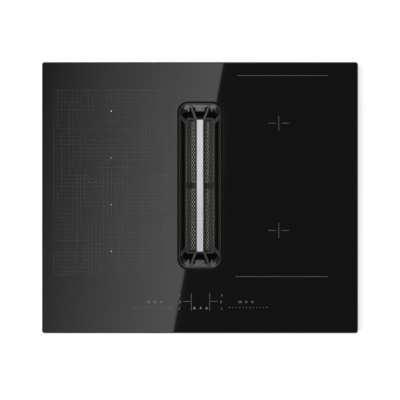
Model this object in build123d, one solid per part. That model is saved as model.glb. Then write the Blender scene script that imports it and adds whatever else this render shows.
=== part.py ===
from build123d import *
import math
import os

# Downdraft induction cooktop, in millimetres. X to the right, Y to the rear, Z up.
# The origin is below the middle of the glass, on the lowest face of the fan box.

# ---- Driving dimensions ----------------------------------------------------------------------

# Glass
glass_w = 600.0             # left to right
glass_d = 515.0             # front to rear
glass_t = 4.0
glass_corner_r = 5.0
glass_bevel_w = 2.2         # ground facet round the rim
glass_bevel_h = 0.9
inlet_facet = 1.2           # polished facet round the inlet opening
inlet_y = 23.0              # middle of the air inlet, behind the middle of the glass

# Heights, from the floor of the fan box up
fan_h = 100.0               # scroll and its lid
plenum_h = 50.0             # air chamber between the well and the fan
pan_h = 55.0                # sheet-metal chassis
sheet_t = 1.0               # steel sheet of the chassis and of the frame
moulding_t = 2.5            # wall of the moulded air parts

# Worktop
worktop_lap_x = 20.0        # how far the glass overlaps the cut-out, left and right
worktop_lap_y = 12.5        # and front and rear
cutout_gap = 3.5            # between the cut-out and the frame
seal_inset = 3.0
seal_w = 7.0
seal_t = 2.0
frame_flange_w = 10.0
frame_skirt_h = 15.0
frame_corner_r = 8.0
sheet_gap = 0.2             # between nested sheets

# Grille
grille_w = 80.5
grille_l = 314.0
grille_corner_r = 18.0
grille_land = 3.0           # flat land round the grille
grille_rise = 0.8           # how far the land stands above the glass
rim_h = 7.4                 # height of the outer rim of the casting
rim_t = 1.8
funnel_depth = 14.6         # from the land down to the lip of the scoop
funnel_side_in = 2.8        # how far the long sides lean in
funnel_end_in = 13.4        # how far the scooped ends run in
funnel_lip_r = 12.0
casting_t = 1.4
spine_w = 18.6
spine_l = 255.0
spine_h = 8.0
spine_r = 2.0
strip_w = 12.0
strip_l = 250.0
strip_r = 1.0
strip_t = 2.0
strip_proud = 0.6
inner_rib_w = 4.0
inner_rib_rim_x = 18.3      # where an inner rib leaves the land
inner_rib_lap = 1.0         # how far a rib runs into the end of the spine
leg_w = 5.4                 # hold-down legs over the filter
leg_wall_y = 132.0
leg_run = 19.0              # length of a leg seen from above, at 45 degrees
leg_groove_w = 1.8
leg_groove_h = 1.2
leg_foot = 5.0              # flat of the foot that holds the filter down
leg_drop = 5.0              # top of a leg below the land
leg_shoulder = 3.0          # level stretch before it slopes down
leg_toe_h = 3.0
leg_heel_h = 9.0

# Inlet well
seat_gap = 0.4              # grille to collar, and collar to glass
collar_t = 0.95
collar_drop = 1.4           # collar top below the glass face
ledge_w = 2.65              # ledge that carries the grille
well_t = 1.5
well_flange_w = 9.0
well_seal_t = 1.0
pad_t = 0.6                 # silicone pads under the grille
pad_l = 20.0
spigot_into_plenum = 4.0
tray_bar_w = 6.0
tray_bar_h = 3.0

# Grease filter and drip tray
filter_rim_w = 58.6
filter_rim_l = 261.0
filter_rim_r = 6.0
filter_rim_t = 1.2
filter_bend_w = 51.4        # mouth of the basket
filter_bend_l = 254.4
filter_bend_r = 4.0
filter_floor_w = 34.0
filter_floor_l = 246.0
filter_floor_r = 4.0
filter_depth = 20.0
filter_below_glass = 24.0   # rim of the filter below the glass face
filter_shelf_lap = 2.2      # how far the rim lies on its shelf
filter_band = 9.6           # plain band across the middle
mesh_pitch_x = 9.6
mesh_pitch_y = 13.6
mesh_hole_x = 6.2
mesh_hole_y = 9.8
side_slot_w = 6.0           # slots in the side walls
side_slot_h = 9.0
tray_w = 48.0
tray_l = 248.0
tray_h = 14.0
tray_r = 6.0
tray_t = 1.2
lift_gap = 0.2              # under a piece that lifts out

# Induction coils
left_side_gap = 7.3         # left coil plate to the wall of the chassis
left_inlet_gap = 10.0       # and to the flange of the inlet well
left_rear_gap = 36.8        # left coils to the rear wall
left_front_gap = 30.0       # and to the touch control
left_between = 11.5         # between the two left coils
coil_left_r = 60.0
coil_left_eye_w = 58.0
coil_left_eye_d = 42.0
coil_left_eye_r = 20.0
right_inlet_gap = 7.6
right_rear_gap = 9.9
right_front_gap = 20.8
right_between = 27.6
coil_right_eye_r = 24.0
mica_t = 0.5
mica_clip = 34.0            # clipped corners of a mica sheet
glass_air_gap = 0.5         # between mica and glass
winding_t = 4.5
former_t = 2.0
former_lip = 1.5
hub_r = 9.0
hub_wall = 1.5
sensor_r = 5.0
ferrite_t = 4.0
ferrite_w = 9.0
ferrite_l = 46.0
coil_plate_t = 1.5
coil_plate_margin = 3.0
plate_leg_w = 26.0
plate_rail_h = 9.0          # solid strip above the windows of a leg

# Electronics
post_h = 6.0
post_r = 3.0
post_inset = 8.0
board_t = 1.6
board_w = 150.0
board_d = 240.0
board_dy = 14.0             # middle of the boards behind the middle of the inlet
heat_sink_w = 46.0
heat_sink_d = 150.0
heat_sink_h = 24.0
heat_sink_base = 4.0
heat_sink_fins = 8
fin_t = 1.6
capacitor_r = 11.0
capacitor_h = 22.0
choke_r = 15.0
choke_eye_r = 6.0
choke_h = 14.0
cooler_size = 80.0          # cooling fan
cooler_h = 25.0
cooler_corner_r = 5.0
cooler_bore_r = 37.5
cooler_front_gap = 4.3      # housing to the front wall of the chassis
cooler_hub_r = 17.0
cooler_tip_gap = 1.0
cooler_blades = 7
cooler_blade_t = 1.4
cooler_blade_lean = 30.0
cooler_blade_inset = 1.0    # from both ends of the hub
cooler_rotor_gap = 2.0      # between the rotor and the arms, and below the top of the housing
cooler_cap_t = 2.5          # roof of the hub over the pin
cooler_pin_r = 2.0
cooler_arm_w = 5.0
cooler_arm_h = 3.0
running_gap = 0.06          # radial, between a shaft and its bore
intake_slot_w = 5.0
intake_slot_pitch = 10.0
louvre_w = 4.0
louvre_h = 24.0
louvre_pitch = 12.0
louvre_count = 11           # in each of the two groups

# Touch control
touch_in = 60.5             # its middle, from the front edge of the glass
touch_w = 292.0
touch_d = 52.0
touch_h = 10.0
touch_wall = 1.5
touch_corner_r = 3.0
touch_leg_w = 8.0
touch_board_margin = 2.0
touch_rib_w = 2.0
touch_rib_h = 2.0
display_w = 13.0
display_d = 9.0
display_h = 4.4
display_dy = 6.0
display_xs = (-98.0, -38.0, 40.0, 76.0)
key_r = 4.0
key_gap = 0.2
key_row_dy = -11.0
key_xs = (-118.0, -86.0, -60.0, -11.0, 2.0, 13.0, 62.0, 90.0, 118.0)

# Mains terminal
terminal_gap = 6.0          # between the box and the flange of the plenum
terminal_w = 84.0
terminal_rear_in = 4.3      # from the rear wall of the chassis
terminal_d = 70.0
terminal_h = 32.0
terminal_wall = 2.0
terminal_r = 3.0
wire_hole_in = 14.0         # hole up into the chassis, from the front of the box
terminal_block_w = 60.0
terminal_block_d = 22.0
terminal_block_h = 18.0
terminal_block_dy = 2.0
terminal_poles = 5
terminal_wire_r = 2.4
gland_bore_r = 6.0
gland_wall = 2.5
gland_nut_r = 12.5
gland_nut_t = 4.0
gland_gap = 0.1             # round the gland, in its hole
gland_out = 9.0             # how far the gland stands out behind the box

# Fan
fan_x = -45.0
fan_y = -40.0
wheel_r = 90.0
wheel_eye_r = 74.0
wheel_blades = 24
wheel_blade_t = 1.2
wheel_blade_inset = 1.0     # from the rim of the back plate
blade_bow = 2.0             # degrees that a blade bows back at its middle
blade_lead = 5.0            # degrees that its outer edge leads
wheel_z = 12.0
wheel_h = 76.0
wheel_plate_t = 2.0
wheel_ring_w = 9.0
scroll_gap = 8.0            # wheel to scroll at the tongue
scroll_growth = 44.0
tongue_angle = 55.0
scroll_mouth_y = 66.0
lid_t = 2.0
inlet_throat_r = 72.0
inlet_lip_r = 80.0
inlet_ring_t = 1.5
inlet_ring_depth = 10.0
inlet_flange_w = 8.0
ear_r = 6.0
ear_hole_r = 2.4
ear_h = 18.0
ear_wall = 1.5
ear_angles = (100.0, 160.0, 220.0, 280.0, 340.0)

# Fan motor
motor_base_r = 60.0
motor_base_t = 3.0
motor_hole_r = 48.0
motor_tube_r = 14.0
bearing_r = 11.0
bearing_h = 7.0
shaft_r = 4.0
motor_tube_h = 42.0
stator_r = 38.0
stator_h = 28.0
stator_z = 15.0
stator_gap = 0.1            # between the stator and the tube that it sits on
air_gap = 0.6
rotor_t = 3.0
rotor_top_z = 54.0
rotor_skirt_z = 10.0

# Plenum
plenum_x0 = -138.0
plenum_x1 = 60.0
plenum_margin_y = 8.0       # beyond the well, front and rear
plenum_r = 16.0
plenum_flange_w = 10.0

# Outlet
flap_frame_t = 14.0
flap_frame_lip = 5.0        # border above and below the flaps
mullion_w = 3.0
flap_t = 1.6
flap_barrel_r = 2.6
flap_pin_r = 1.6
flap_pin_l = 2.0
flap_side_gap = 0.4
flap_edge_gap = 1.2
duct_w = 222.0              # flat-duct connection
duct_h = 89.0
duct_x = 60.0
duct_spigot_l = 42.0
duct_past_pan = 4.7         # how far it ends behind the chassis
duct_t = 2.0

# Fixing brackets and fasteners
bracket_y = 150.0
bracket_w = 30.0
bracket_t = 1.4
bracket_up = 15.0
bracket_down = 25.0
bracket_foot_l = 16.0
bracket_foot_t = 2.0
bracket_screw_z = 166.0
worktop_t = 38.0            # worktop that the brackets are set for
screw_r = 2.0
screw_head_r = 4.0
screw_head_t = 1.5
screw_sides = 6             # small round parts are prisms
boss_sides = 12
bracket_slot_gap = 0.3

# ---- Heights and outlines that follow --------------------------------------------------------

pan_z = fan_h + plenum_h
frame_z = pan_z + pan_h                     # underside of the frame's flange
glass_z = frame_z + sheet_t                 # underside of the glass
top_z = glass_z + glass_t                   # face of the glass
frame_w = glass_w - 2 * (worktop_lap_x + cutout_gap)
frame_d = glass_d - 2 * (worktop_lap_y + cutout_gap)
pan_w = frame_w - 2 * (sheet_t + sheet_gap)
pan_d = frame_d - 2 * (sheet_t + sheet_gap)
pan_in_x = pan_w / 2 - sheet_t              # inner face of the side wall
pan_in_y = pan_d / 2 - sheet_t
pan_floor_z = pan_z + sheet_t

inlet_grow = 2 * (seat_gap + collar_t + seat_gap)
inlet_w = grille_w + inlet_grow
inlet_l = grille_l + inlet_grow
inlet_r = grille_corner_r + inlet_grow / 2
land_z = top_z + grille_rise
rim_z = land_z - rim_h
ledge_z = rim_z - pad_t - lift_gap
collar_in_w = grille_w + 2 * seat_gap
collar_in_l = grille_l + 2 * seat_gap
collar_in_r = grille_corner_r + seat_gap
throat_w = collar_in_w - 2 * ledge_w
throat_l = collar_in_l - 2 * ledge_w
throat_r = collar_in_r - ledge_w
well_out_w = throat_w + 2 * well_t
well_out_l = throat_l + 2 * well_t
well_out_r = throat_r + well_t
well_bottom_z = pan_z - spigot_into_plenum
filter_z = top_z - filter_below_glass       # top of the filter's rim
shelf_z = filter_z - filter_rim_t - lift_gap
tray_z = well_bottom_z + tray_bar_h + lift_gap
touch_y = touch_in - glass_d / 2


def slab(size_x, size_y, radius, z_low, z_high, x=0.0, y=0.0):
    """A plate or block with rounded upright corners, centred on x, y."""
    outline = Pos(x, y, z_low) * RectangleRounded(size_x, size_y, radius)
    return extrude(outline, amount=z_high - z_low)


def box_between(x0, x1, y0, y1, z0, z1):
    """A block given by its two corners."""
    middle = Pos((x0 + x1) / 2, (y0 + y1) / 2, (z0 + z1) / 2)
    return middle * Box(abs(x1 - x0), abs(y1 - y0), abs(z1 - z0))


def rod(radius, z_low, z_high, x=0.0, y=0.0):
    """An upright cylinder."""
    return Pos(x, y, (z_low + z_high) / 2) * Cylinder(radius, z_high - z_low)


def prism(radius, sides, z_low, z_high, x=0.0, y=0.0):
    """An upright prism, for screws and other small round parts."""
    return extrude(Pos(x, y, z_low) * RegularPolygon(radius, sides), amount=z_high - z_low)


def tapered(low, high, z_low, z_high, x=0.0, y=0.0):
    """A block between two rounded rectangles, each (size_x, size_y, radius)."""
    bottom = Pos(x, y, z_low) * RectangleRounded(*low)
    top = Pos(x, y, z_high) * RectangleRounded(*high)
    return loft([bottom, top], ruled=True)


def save(node, shape):
    """Write one named sub-part."""
    export_step(shape, os.path.join("parts", node + ".step"))


os.makedirs("parts", exist_ok=True)

# ---- Glass top -------------------------------------------------------------------------------
# One ceramic glass plate with a ground rim and a slot for the air inlet.

bevel_z = top_z - glass_bevel_h
glass_low = (glass_w, glass_d, glass_corner_r)
glass_high = (glass_w - 2 * glass_bevel_w, glass_d - 2 * glass_bevel_w, glass_corner_r - glass_bevel_w)
glass_top = slab(*glass_low, glass_z, bevel_z) + tapered(glass_low, glass_high, bevel_z, top_z)
glass_top -= slab(inlet_w, inlet_l, inlet_r, glass_z - 1, top_z + 1, y=inlet_y)
glass_top -= tapered(
    (inlet_w, inlet_l, inlet_r),
    (inlet_w + 2 * inlet_facet, inlet_l + 2 * inlet_facet, inlet_r + inlet_facet),
    top_z - inlet_facet,
    top_z,
    y=inlet_y,
)
save("glass_top", glass_top)

# Foam tape under the rim, which lies on the worktop.
seal_out_w = glass_w - 2 * seal_inset
seal_out_d = glass_d - 2 * seal_inset
glass_seal = slab(seal_out_w, seal_out_d, glass_corner_r, glass_z - seal_t, glass_z)
glass_seal -= slab(
    seal_out_w - 2 * seal_w, seal_out_d - 2 * seal_w, glass_corner_r, glass_z - seal_t - 1, glass_z + 1
)
save("glass_seal", glass_seal)

# Folded steel frame that is bonded to the glass and drops over the chassis.
glass_frame = slab(frame_w, frame_d, frame_corner_r, glass_z - frame_skirt_h, glass_z)
glass_frame -= slab(
    frame_w - 2 * sheet_t, frame_d - 2 * sheet_t, frame_corner_r - sheet_t,
    glass_z - frame_skirt_h - 1, frame_z,
)
glass_frame -= slab(
    frame_w - 2 * frame_flange_w, frame_d - 2 * frame_flange_w, frame_corner_r, frame_z - 1, glass_z + 1
)
save("glass_frame", glass_frame)

# ---- Chassis pan -----------------------------------------------------------------------------
# Pressed steel tray with air slots, board posts and an opening for the inlet well.

well_edge_x = inlet_w / 2 + well_flange_w
left_edge = left_side_gap + coil_plate_margin - pan_in_x
left_inner = -well_edge_x - left_inlet_gap - coil_plate_margin
left_rear = pan_in_y - left_rear_gap
left_front = touch_y + touch_d / 2 + left_front_gap
coil_left_w = left_inner - left_edge
coil_left_d = (left_rear - left_front - left_between) / 2
coil_left_x = (left_inner + left_edge) / 2
coil_left_ys = (left_rear - coil_left_d / 2, left_front + coil_left_d / 2)
right_rear = pan_in_y - right_rear_gap
right_front = touch_y + touch_d / 2 + right_front_gap
coil_right_r = (right_rear - right_front - right_between) / 4
coil_right_x = well_edge_x + right_inlet_gap + coil_plate_margin + coil_right_r
coil_right_ys = (right_rear - coil_right_r, right_front + coil_right_r)

cooler_x = (touch_w / 2 + pan_in_x) / 2     # middle of the bay beside the touch control
cooler_y = cooler_front_gap + cooler_size / 2 - pan_in_y
board_x = (coil_right_x - coil_left_x) / 2
board_y = inlet_y + board_dy
board_z = pan_floor_z + post_h
fan_spots = [(-cooler_x, cooler_y), (cooler_x, cooler_y)]
board_spots = [(-board_x, board_y), (board_x, board_y)]

chassis_pan = slab(pan_w, pan_d, frame_corner_r - sheet_t, pan_z, frame_z)
chassis_pan -= slab(
    pan_w - 2 * sheet_t, pan_d - 2 * sheet_t, frame_corner_r - 2 * sheet_t, pan_floor_z, frame_z + 1
)
for board_cx, board_cy in board_spots:
    for side_x in (-1, 1):
        for side_y in (-1, 1):
            post_x = board_cx + side_x * (board_w / 2 - post_inset)
            post_y = board_cy + side_y * (board_d / 2 - post_inset)
            chassis_pan += prism(post_r, screw_sides, pan_z, board_z, post_x, post_y)
pan_cuts = [
    slab(
        well_out_w + 2 * seat_gap, well_out_l + 2 * seat_gap, well_out_r + seat_gap,
        pan_z - 1, pan_floor_z + 1, y=inlet_y,
    )
]
slots_half = int((cooler_bore_r - intake_slot_w) / intake_slot_pitch)
for fan_cx, fan_cy in fan_spots:
    for step in range(-slots_half, slots_half + 1):
        slot_y = step * intake_slot_pitch
        slot_half = math.sqrt(cooler_bore_r**2 - (abs(slot_y) + intake_slot_w / 2) ** 2)
        pan_cuts.append(box_between(
            fan_cx - slot_half, fan_cx + slot_half,
            fan_cy + slot_y - intake_slot_w / 2, fan_cy + slot_y + intake_slot_w / 2,
            pan_z - 1, pan_floor_z + 1,
        ))
louvre_z = pan_z + pan_h / 2
for group in (-1, 1):
    for step in range(louvre_count):
        louvre_x = group * (touch_w / 2 - (step + 0.5) * louvre_pitch)
        pan_cuts.append(box_between(
            louvre_x - louvre_w / 2, louvre_x + louvre_w / 2, -pan_d / 2 - 1, -pan_d / 2 + sheet_t + 1,
            louvre_z - louvre_h / 2, louvre_z + louvre_h / 2,
        ))
for side_x in (-1, 1):
    for side_y in (-1, 1):
        hole = Pos(side_x * pan_w / 2, side_y * bracket_y, bracket_screw_z) * Rot(0, 90, 0)
        hole_outline = RegularPolygon(screw_r + sheet_gap, screw_sides)
        pan_cuts.append(hole * extrude(hole_outline, amount=3 * sheet_t, both=True))
terminal_x = plenum_x0 - plenum_flange_w - terminal_gap - terminal_w / 2
terminal_y_rear = pan_d / 2 - terminal_rear_in
wire_hole_y = terminal_y_rear - terminal_d + wire_hole_in
pan_cuts.append(rod(gland_bore_r, pan_z - 1, pan_floor_z + 1, terminal_x, wire_hole_y))
chassis_pan -= pan_cuts
save("chassis_pan", chassis_pan)

# ---- Inlet well ------------------------------------------------------------------------------
# Moulded well below the grille: collar, ledge, throat, filter shelf and bars for the drip tray.

flange_z = glass_z - well_seal_t
inlet_well = slab(
    inlet_w + 2 * well_flange_w, inlet_l + 2 * well_flange_w, inlet_r + well_flange_w,
    flange_z - well_t, flange_z, y=inlet_y,
)
collar_out = (collar_in_w + 2 * collar_t, collar_in_l + 2 * collar_t, collar_in_r + collar_t)
inlet_well += slab(*collar_out, ledge_z - well_t, top_z - collar_drop, y=inlet_y)
inlet_well += slab(well_out_w, well_out_l, well_out_r, well_bottom_z, ledge_z, y=inlet_y)
inlet_well -= slab(collar_in_w, collar_in_l, collar_in_r, ledge_z, top_z, y=inlet_y)
inlet_well -= slab(throat_w, throat_l, throat_r, shelf_z, ledge_z + 1, y=inlet_y)
inlet_well -= slab(throat_w, throat_l, throat_r, well_bottom_z + tray_bar_h, shelf_z - well_t, y=inlet_y)
shelf_hole_w = filter_rim_w - 2 * filter_shelf_lap
shelf_hole_l = filter_rim_l - 2 * filter_shelf_lap
inlet_well -= slab(shelf_hole_w, shelf_hole_l, filter_rim_r, shelf_z - well_t - 1, shelf_z + 1, y=inlet_y)
bar_pitch = tray_l / 5
bars = [
    box_between(
        -well_out_w / 2, well_out_w / 2,
        inlet_y + step * bar_pitch - tray_bar_w / 2, inlet_y + step * bar_pitch + tray_bar_w / 2,
        well_bottom_z, well_bottom_z + tray_bar_h,
    )
    for step in (-2, -1, 0, 1, 2)
]
way_down = slab(throat_w, throat_l, throat_r, well_bottom_z - 1, well_bottom_z + tray_bar_h, y=inlet_y)
inlet_well -= way_down - bars
save("inlet_well", inlet_well)

# Gasket between the flange of the well and the glass.
inlet_seal = slab(
    inlet_w + 2 * well_flange_w, inlet_l + 2 * well_flange_w, inlet_r + well_flange_w,
    flange_z, glass_z, y=inlet_y,
)
inlet_seal -= slab(inlet_w, inlet_l, inlet_r, flange_z - 1, glass_z + 1, y=inlet_y)
save("inlet_seal", inlet_seal)

# ---- Grille ----------------------------------------------------------------------------------
# Cast aluminium grille: land, down-turned rim, scooped funnel, four inner ribs, spine and four
# hold-down legs over the filter.

land_in_w = grille_w - 2 * grille_land
land_in_l = grille_l - 2 * grille_land
land_in_r = grille_corner_r - grille_land
lip_z = land_z - funnel_depth
lip_w = land_in_w - 2 * funnel_side_in
lip_l = land_in_l - 2 * funnel_end_in


def funnel(grow, over):
    """The scoop of the grille, grown by a wall and carried on past both ends by a share of it."""
    high_z = land_z + over * funnel_depth
    low_z = lip_z - over * funnel_depth
    high = (
        land_in_w + 2 * (grow + over * funnel_side_in),
        land_in_l + 2 * (grow + over * funnel_end_in),
        land_in_r + grow,
    )
    low = (
        lip_w + 2 * (grow - over * funnel_side_in),
        lip_l + 2 * (grow - over * funnel_end_in),
        funnel_lip_r + grow,
    )
    return tapered(low, high, low_z, high_z, y=inlet_y)


grille = slab(grille_w, grille_l, grille_corner_r, rim_z, land_z, y=inlet_y)
grille -= slab(
    grille_w - 2 * rim_t, grille_l - 2 * rim_t, grille_corner_r - rim_t, rim_z - 1, land_z - rim_t, y=inlet_y
)
grille += funnel(casting_t, 0.0)
grille -= funnel(0.0, 0.2)
rib_z = land_z - spine_h
grille += slab(spine_w, spine_l, spine_r, rib_z, land_z, y=inlet_y)
for side_x in (-1, 1):
    for end_y in (-1, 1):
        rim_point = Vector(side_x * inner_rib_rim_x, inlet_y + end_y * (land_in_l + grille_land) / 2)
        spine_point = Vector(
            side_x * (spine_w - inner_rib_w) / 2, inlet_y + end_y * (spine_l / 2 - inner_rib_lap)
        )
        rib_run = spine_point - rim_point
        rib_middle = (rim_point + spine_point) * 0.5
        rib_turn = math.degrees(math.atan2(rib_run.Y, rib_run.X))
        rib_place = Pos(rib_middle.X, rib_middle.Y, rib_z) * Rot(0, 0, rib_turn)
        grille += extrude(rib_place * Rectangle(rib_run.length, inner_rib_w), amount=spine_h)
foot_z = filter_z + 2 * lift_gap
wall_x = land_in_w / 2 + casting_t / 2
leg_reach = (lip_z - foot_z) / funnel_depth + 0.1
leg_top_z = land_z - leg_drop
leg_toe_z = foot_z + leg_toe_h
leg_profile = Polyline(
    (0, leg_top_z), (leg_shoulder, leg_top_z), (leg_run, leg_toe_z), (leg_run, foot_z),
    (leg_run - leg_foot, foot_z), (0, foot_z + leg_heel_h), close=True,
)
leg_slope = math.degrees(math.atan2(leg_top_z - leg_toe_z, leg_run - leg_shoulder))
groove_place = Pos((leg_run + leg_shoulder) / 2, (leg_top_z + leg_toe_z) / 2, 0) * Rot(0, 0, -leg_slope)
for side_x in (-1, 1):
    for end_y in (-1, 1):
        start = (side_x * wall_x, inlet_y + end_y * leg_wall_y, 0)
        inward = (-side_x, -end_y, 0)
        across = Vector(*inward).cross(Vector(0, 0, 1))
        leg_plane = Plane(origin=start, x_dir=inward, z_dir=across)
        leg = extrude(leg_plane * make_face(leg_profile), amount=leg_w / 2, both=True)
        leg -= leg_plane * groove_place * Box(leg_run, 2 * leg_groove_h, leg_groove_w)
        grille += leg & funnel(casting_t / 2, leg_reach)
grille -= slab(strip_w, strip_l, strip_r, land_z - strip_t + strip_proud, land_z + 1, y=inlet_y)
grille = grille.clean()
save("grille", grille)

# Brushed aluminium strip in the top of the spine.
grille_strip = slab(
    strip_w, strip_l, strip_r, land_z - strip_t + strip_proud, land_z + strip_proud, y=inlet_y
)
save("grille_strip", grille_strip)

# Silicone pads under the rim of the grille.
pads = []
for side_x in (-1, 1):
    for step in (-1, 0, 1):
        pad_y = inlet_y + step * (grille_l / 2 - 2 * grille_corner_r)
        pad_x = side_x * (grille_w - rim_t) / 2
        pads.append(box_between(
            pad_x - rim_t / 2, pad_x + rim_t / 2, pad_y - pad_l / 2, pad_y + pad_l / 2, rim_z - pad_t, rim_z
        ))
save("grille_pads", Compound(children=pads))

# ---- Grease filter ---------------------------------------------------------------------------
# Perforated steel basket with a flat rim and a plain band across the middle.

wall_twice = 2 * filter_rim_t
mouth = (filter_bend_w, filter_bend_l, filter_bend_r)
floor_in = (filter_floor_w, filter_floor_l, filter_floor_r)
mouth_out = (filter_bend_w + wall_twice, filter_bend_l + wall_twice, filter_bend_r + filter_rim_t)
floor_out = (filter_floor_w + wall_twice, filter_floor_l + wall_twice, filter_floor_r + filter_rim_t)
filter_floor_z = filter_z - filter_depth
filter_basket = slab(filter_rim_w, filter_rim_l, filter_rim_r, filter_z - filter_rim_t, filter_z, y=inlet_y)
filter_basket += tapered(floor_out, mouth_out, filter_floor_z - filter_rim_t, filter_z, y=inlet_y)
filter_basket -= tapered(floor_in, mouth, filter_floor_z, filter_z, y=inlet_y)
diamond = Polyline(
    (mesh_hole_x / 2, 0), (0, mesh_hole_y / 2), (-mesh_hole_x / 2, 0), (0, -mesh_hole_y / 2), close=True
)
diamond_hole = extrude(make_face(diamond), amount=4 * filter_rim_t)
mesh_cuts = []
half_band = filter_band / 2 + mesh_hole_y / 2
reach_x = filter_floor_w / 2 - filter_rim_t - mesh_hole_x / 2
reach_y = filter_floor_l / 2 - filter_floor_r - mesh_hole_y / 2
rows = int((reach_y - half_band) / (mesh_pitch_y / 2)) + 1
columns = int(reach_x / (mesh_pitch_x / 2))
for row in range(rows):
    for column in range(-columns, columns + 1):
        if (row + column) % 2 == 0:
            for end_y in (-1, 1):
                hole_y = inlet_y + end_y * (half_band + row * mesh_pitch_y / 2)
                spot = Pos(column * mesh_pitch_x / 2, hole_y, filter_floor_z - 3 * filter_rim_t)
                mesh_cuts.append(spot * diamond_hole)
slot_z = filter_z - filter_depth / 2
for row in range(0, rows, 2):
    for end_y in (-1, 1):
        slot_y = inlet_y + end_y * (half_band + row * mesh_pitch_y / 2)
        mesh_cuts.append(box_between(
            -filter_rim_w / 2, filter_rim_w / 2, slot_y - side_slot_w / 2, slot_y + side_slot_w / 2,
            slot_z - side_slot_h / 2, slot_z + side_slot_h / 2,
        ))
filter_basket -= mesh_cuts
save("filter_basket", filter_basket)

# Drip tray under the filter, on the bars of the well.
drip_tray = slab(tray_w, tray_l, tray_r, tray_z, tray_z + tray_h, y=inlet_y)
drip_tray -= slab(
    tray_w - 2 * tray_t, tray_l - 2 * tray_t, tray_r - tray_t, tray_z + tray_t, tray_z + tray_h + 1, y=inlet_y
)
save("drip_tray", drip_tray)

# ---- Induction coils -------------------------------------------------------------------------
# Each coil is a flat winding on a former, with ferrite bars below, mica above and a sensor in
# the middle. The coils stand on folded aluminium plates.

mica_z = glass_z - glass_air_gap - mica_t
winding_z = mica_z - winding_t
former_z = winding_z - former_t
ferrite_z = former_z - ferrite_t
coil_plate_z = ferrite_z - coil_plate_t
sensor_top_z = glass_z - sheet_gap

left_outline = (coil_left_w, coil_left_d, coil_left_r)
left_eye = (coil_left_eye_w, coil_left_eye_d, coil_left_eye_r)
coil_spots = [
    ("left_rear", coil_left_x, coil_left_ys[0]),
    ("left_front", coil_left_x, coil_left_ys[1]),
    ("right_rear", coil_right_x, coil_right_ys[0]),
    ("right_front", coil_right_x, coil_right_ys[1]),
]
ferrites = []
micas = []
sensors = []
for coil_name, coil_x, coil_y in coil_spots:
    hub = prism(hub_r, boss_sides, former_z, mica_z, coil_x, coil_y)
    hub_hole = prism(hub_r - hub_wall, boss_sides, former_z - 1, glass_z, coil_x, coil_y)
    if coil_name.startswith("left"):
        winding = slab(*left_outline, winding_z, mica_z, coil_x, coil_y)
        winding -= slab(*left_eye, winding_z - 1, mica_z + 1, coil_x, coil_y)
        former = slab(
            coil_left_w + 2 * former_lip, coil_left_d + 2 * former_lip, coil_left_r + former_lip,
            former_z, winding_z, coil_x, coil_y,
        )
        mica_size = (coil_left_w, coil_left_d)
        bar_starts = [
            (coil_left_eye_w / 2 - ferrite_w, 0, 0), (-coil_left_eye_w / 2 + ferrite_w, 0, 180),
        ]
        for shift in (-1, 0, 1):
            bar_starts.append((shift * coil_left_eye_w / 2, coil_left_eye_d / 2 - ferrite_w, 90))
            bar_starts.append((shift * coil_left_eye_w / 2, -coil_left_eye_d / 2 + ferrite_w, 270))
    else:
        winding = rod(coil_right_r, winding_z, mica_z, coil_x, coil_y)
        winding -= rod(coil_right_eye_r, winding_z - 1, mica_z + 1, coil_x, coil_y)
        former = rod(coil_right_r + former_lip, former_z, winding_z, coil_x, coil_y)
        mica_size = (2 * coil_right_r, 2 * coil_right_r)
        bar_starts = [
            (
                (coil_right_eye_r + ferrite_w / 2) * math.cos(math.radians(turn)),
                (coil_right_eye_r + ferrite_w / 2) * math.sin(math.radians(turn)),
                turn,
            )
            for turn in range(0, 360, 45)
        ]
    mica_outline = Rectangle(*mica_size)
    mica_outline = chamfer(mica_outline.vertices(), mica_clip)
    mica = extrude(Pos(coil_x, coil_y, mica_z) * mica_outline, amount=mica_t)
    mica -= prism(sensor_r + former_lip, boss_sides, mica_z - 1, glass_z, coil_x, coil_y)
    former = former + hub - hub_hole
    save("coil_winding_" + coil_name, winding)
    save("coil_former_" + coil_name, former)
    micas.append(mica)
    sensors.append(prism(sensor_r, boss_sides, coil_plate_z + coil_plate_t, sensor_top_z, coil_x, coil_y))
    for bar_x, bar_y, turn in bar_starts:
        bar_place = Pos(coil_x + bar_x, coil_y + bar_y, ferrite_z + ferrite_t / 2) * Rot(0, 0, turn)
        ferrites.append(bar_place * Pos(ferrite_l / 2, 0, 0) * Box(ferrite_l, ferrite_w, ferrite_t))
save("ferrite_bars", Compound(children=ferrites))
save("mica_sheets", Compound(children=micas))
save("coil_sensors", Compound(children=sensors))


def coil_plate(x, ys, half_x, half_y):
    """A folded aluminium plate below a pair of coils, on legs that stand on the chassis floor."""
    x0 = x - half_x - coil_plate_margin
    x1 = x + half_x + coil_plate_margin
    y0 = min(ys) - half_y
    y1 = max(ys) + half_y
    plate = box_between(x0, x1, y0, y1, pan_floor_z, coil_plate_z + coil_plate_t)
    plate -= box_between(x0 + coil_plate_t, x1 - coil_plate_t, y0 - 1, y1 + 1, pan_floor_z - 1, coil_plate_z)
    window_l = (y1 - y0 - 4 * plate_leg_w) / 3
    for step in range(3):
        window_y = y0 + plate_leg_w + step * (window_l + plate_leg_w)
        plate -= box_between(
            x0 - 1, x1 + 1, window_y, window_y + window_l, pan_floor_z - 1, coil_plate_z - plate_rail_h
        )
    return plate


save("coil_plate_left", coil_plate(coil_left_x, coil_left_ys, coil_left_w / 2, coil_left_d / 2))
save("coil_plate_right", coil_plate(coil_right_x, coil_right_ys, coil_right_r, coil_right_r))

# ---- Electronics -----------------------------------------------------------------------------
# A power board on posts below each pair of coils, with its heat sink, capacitors and chokes.

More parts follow.
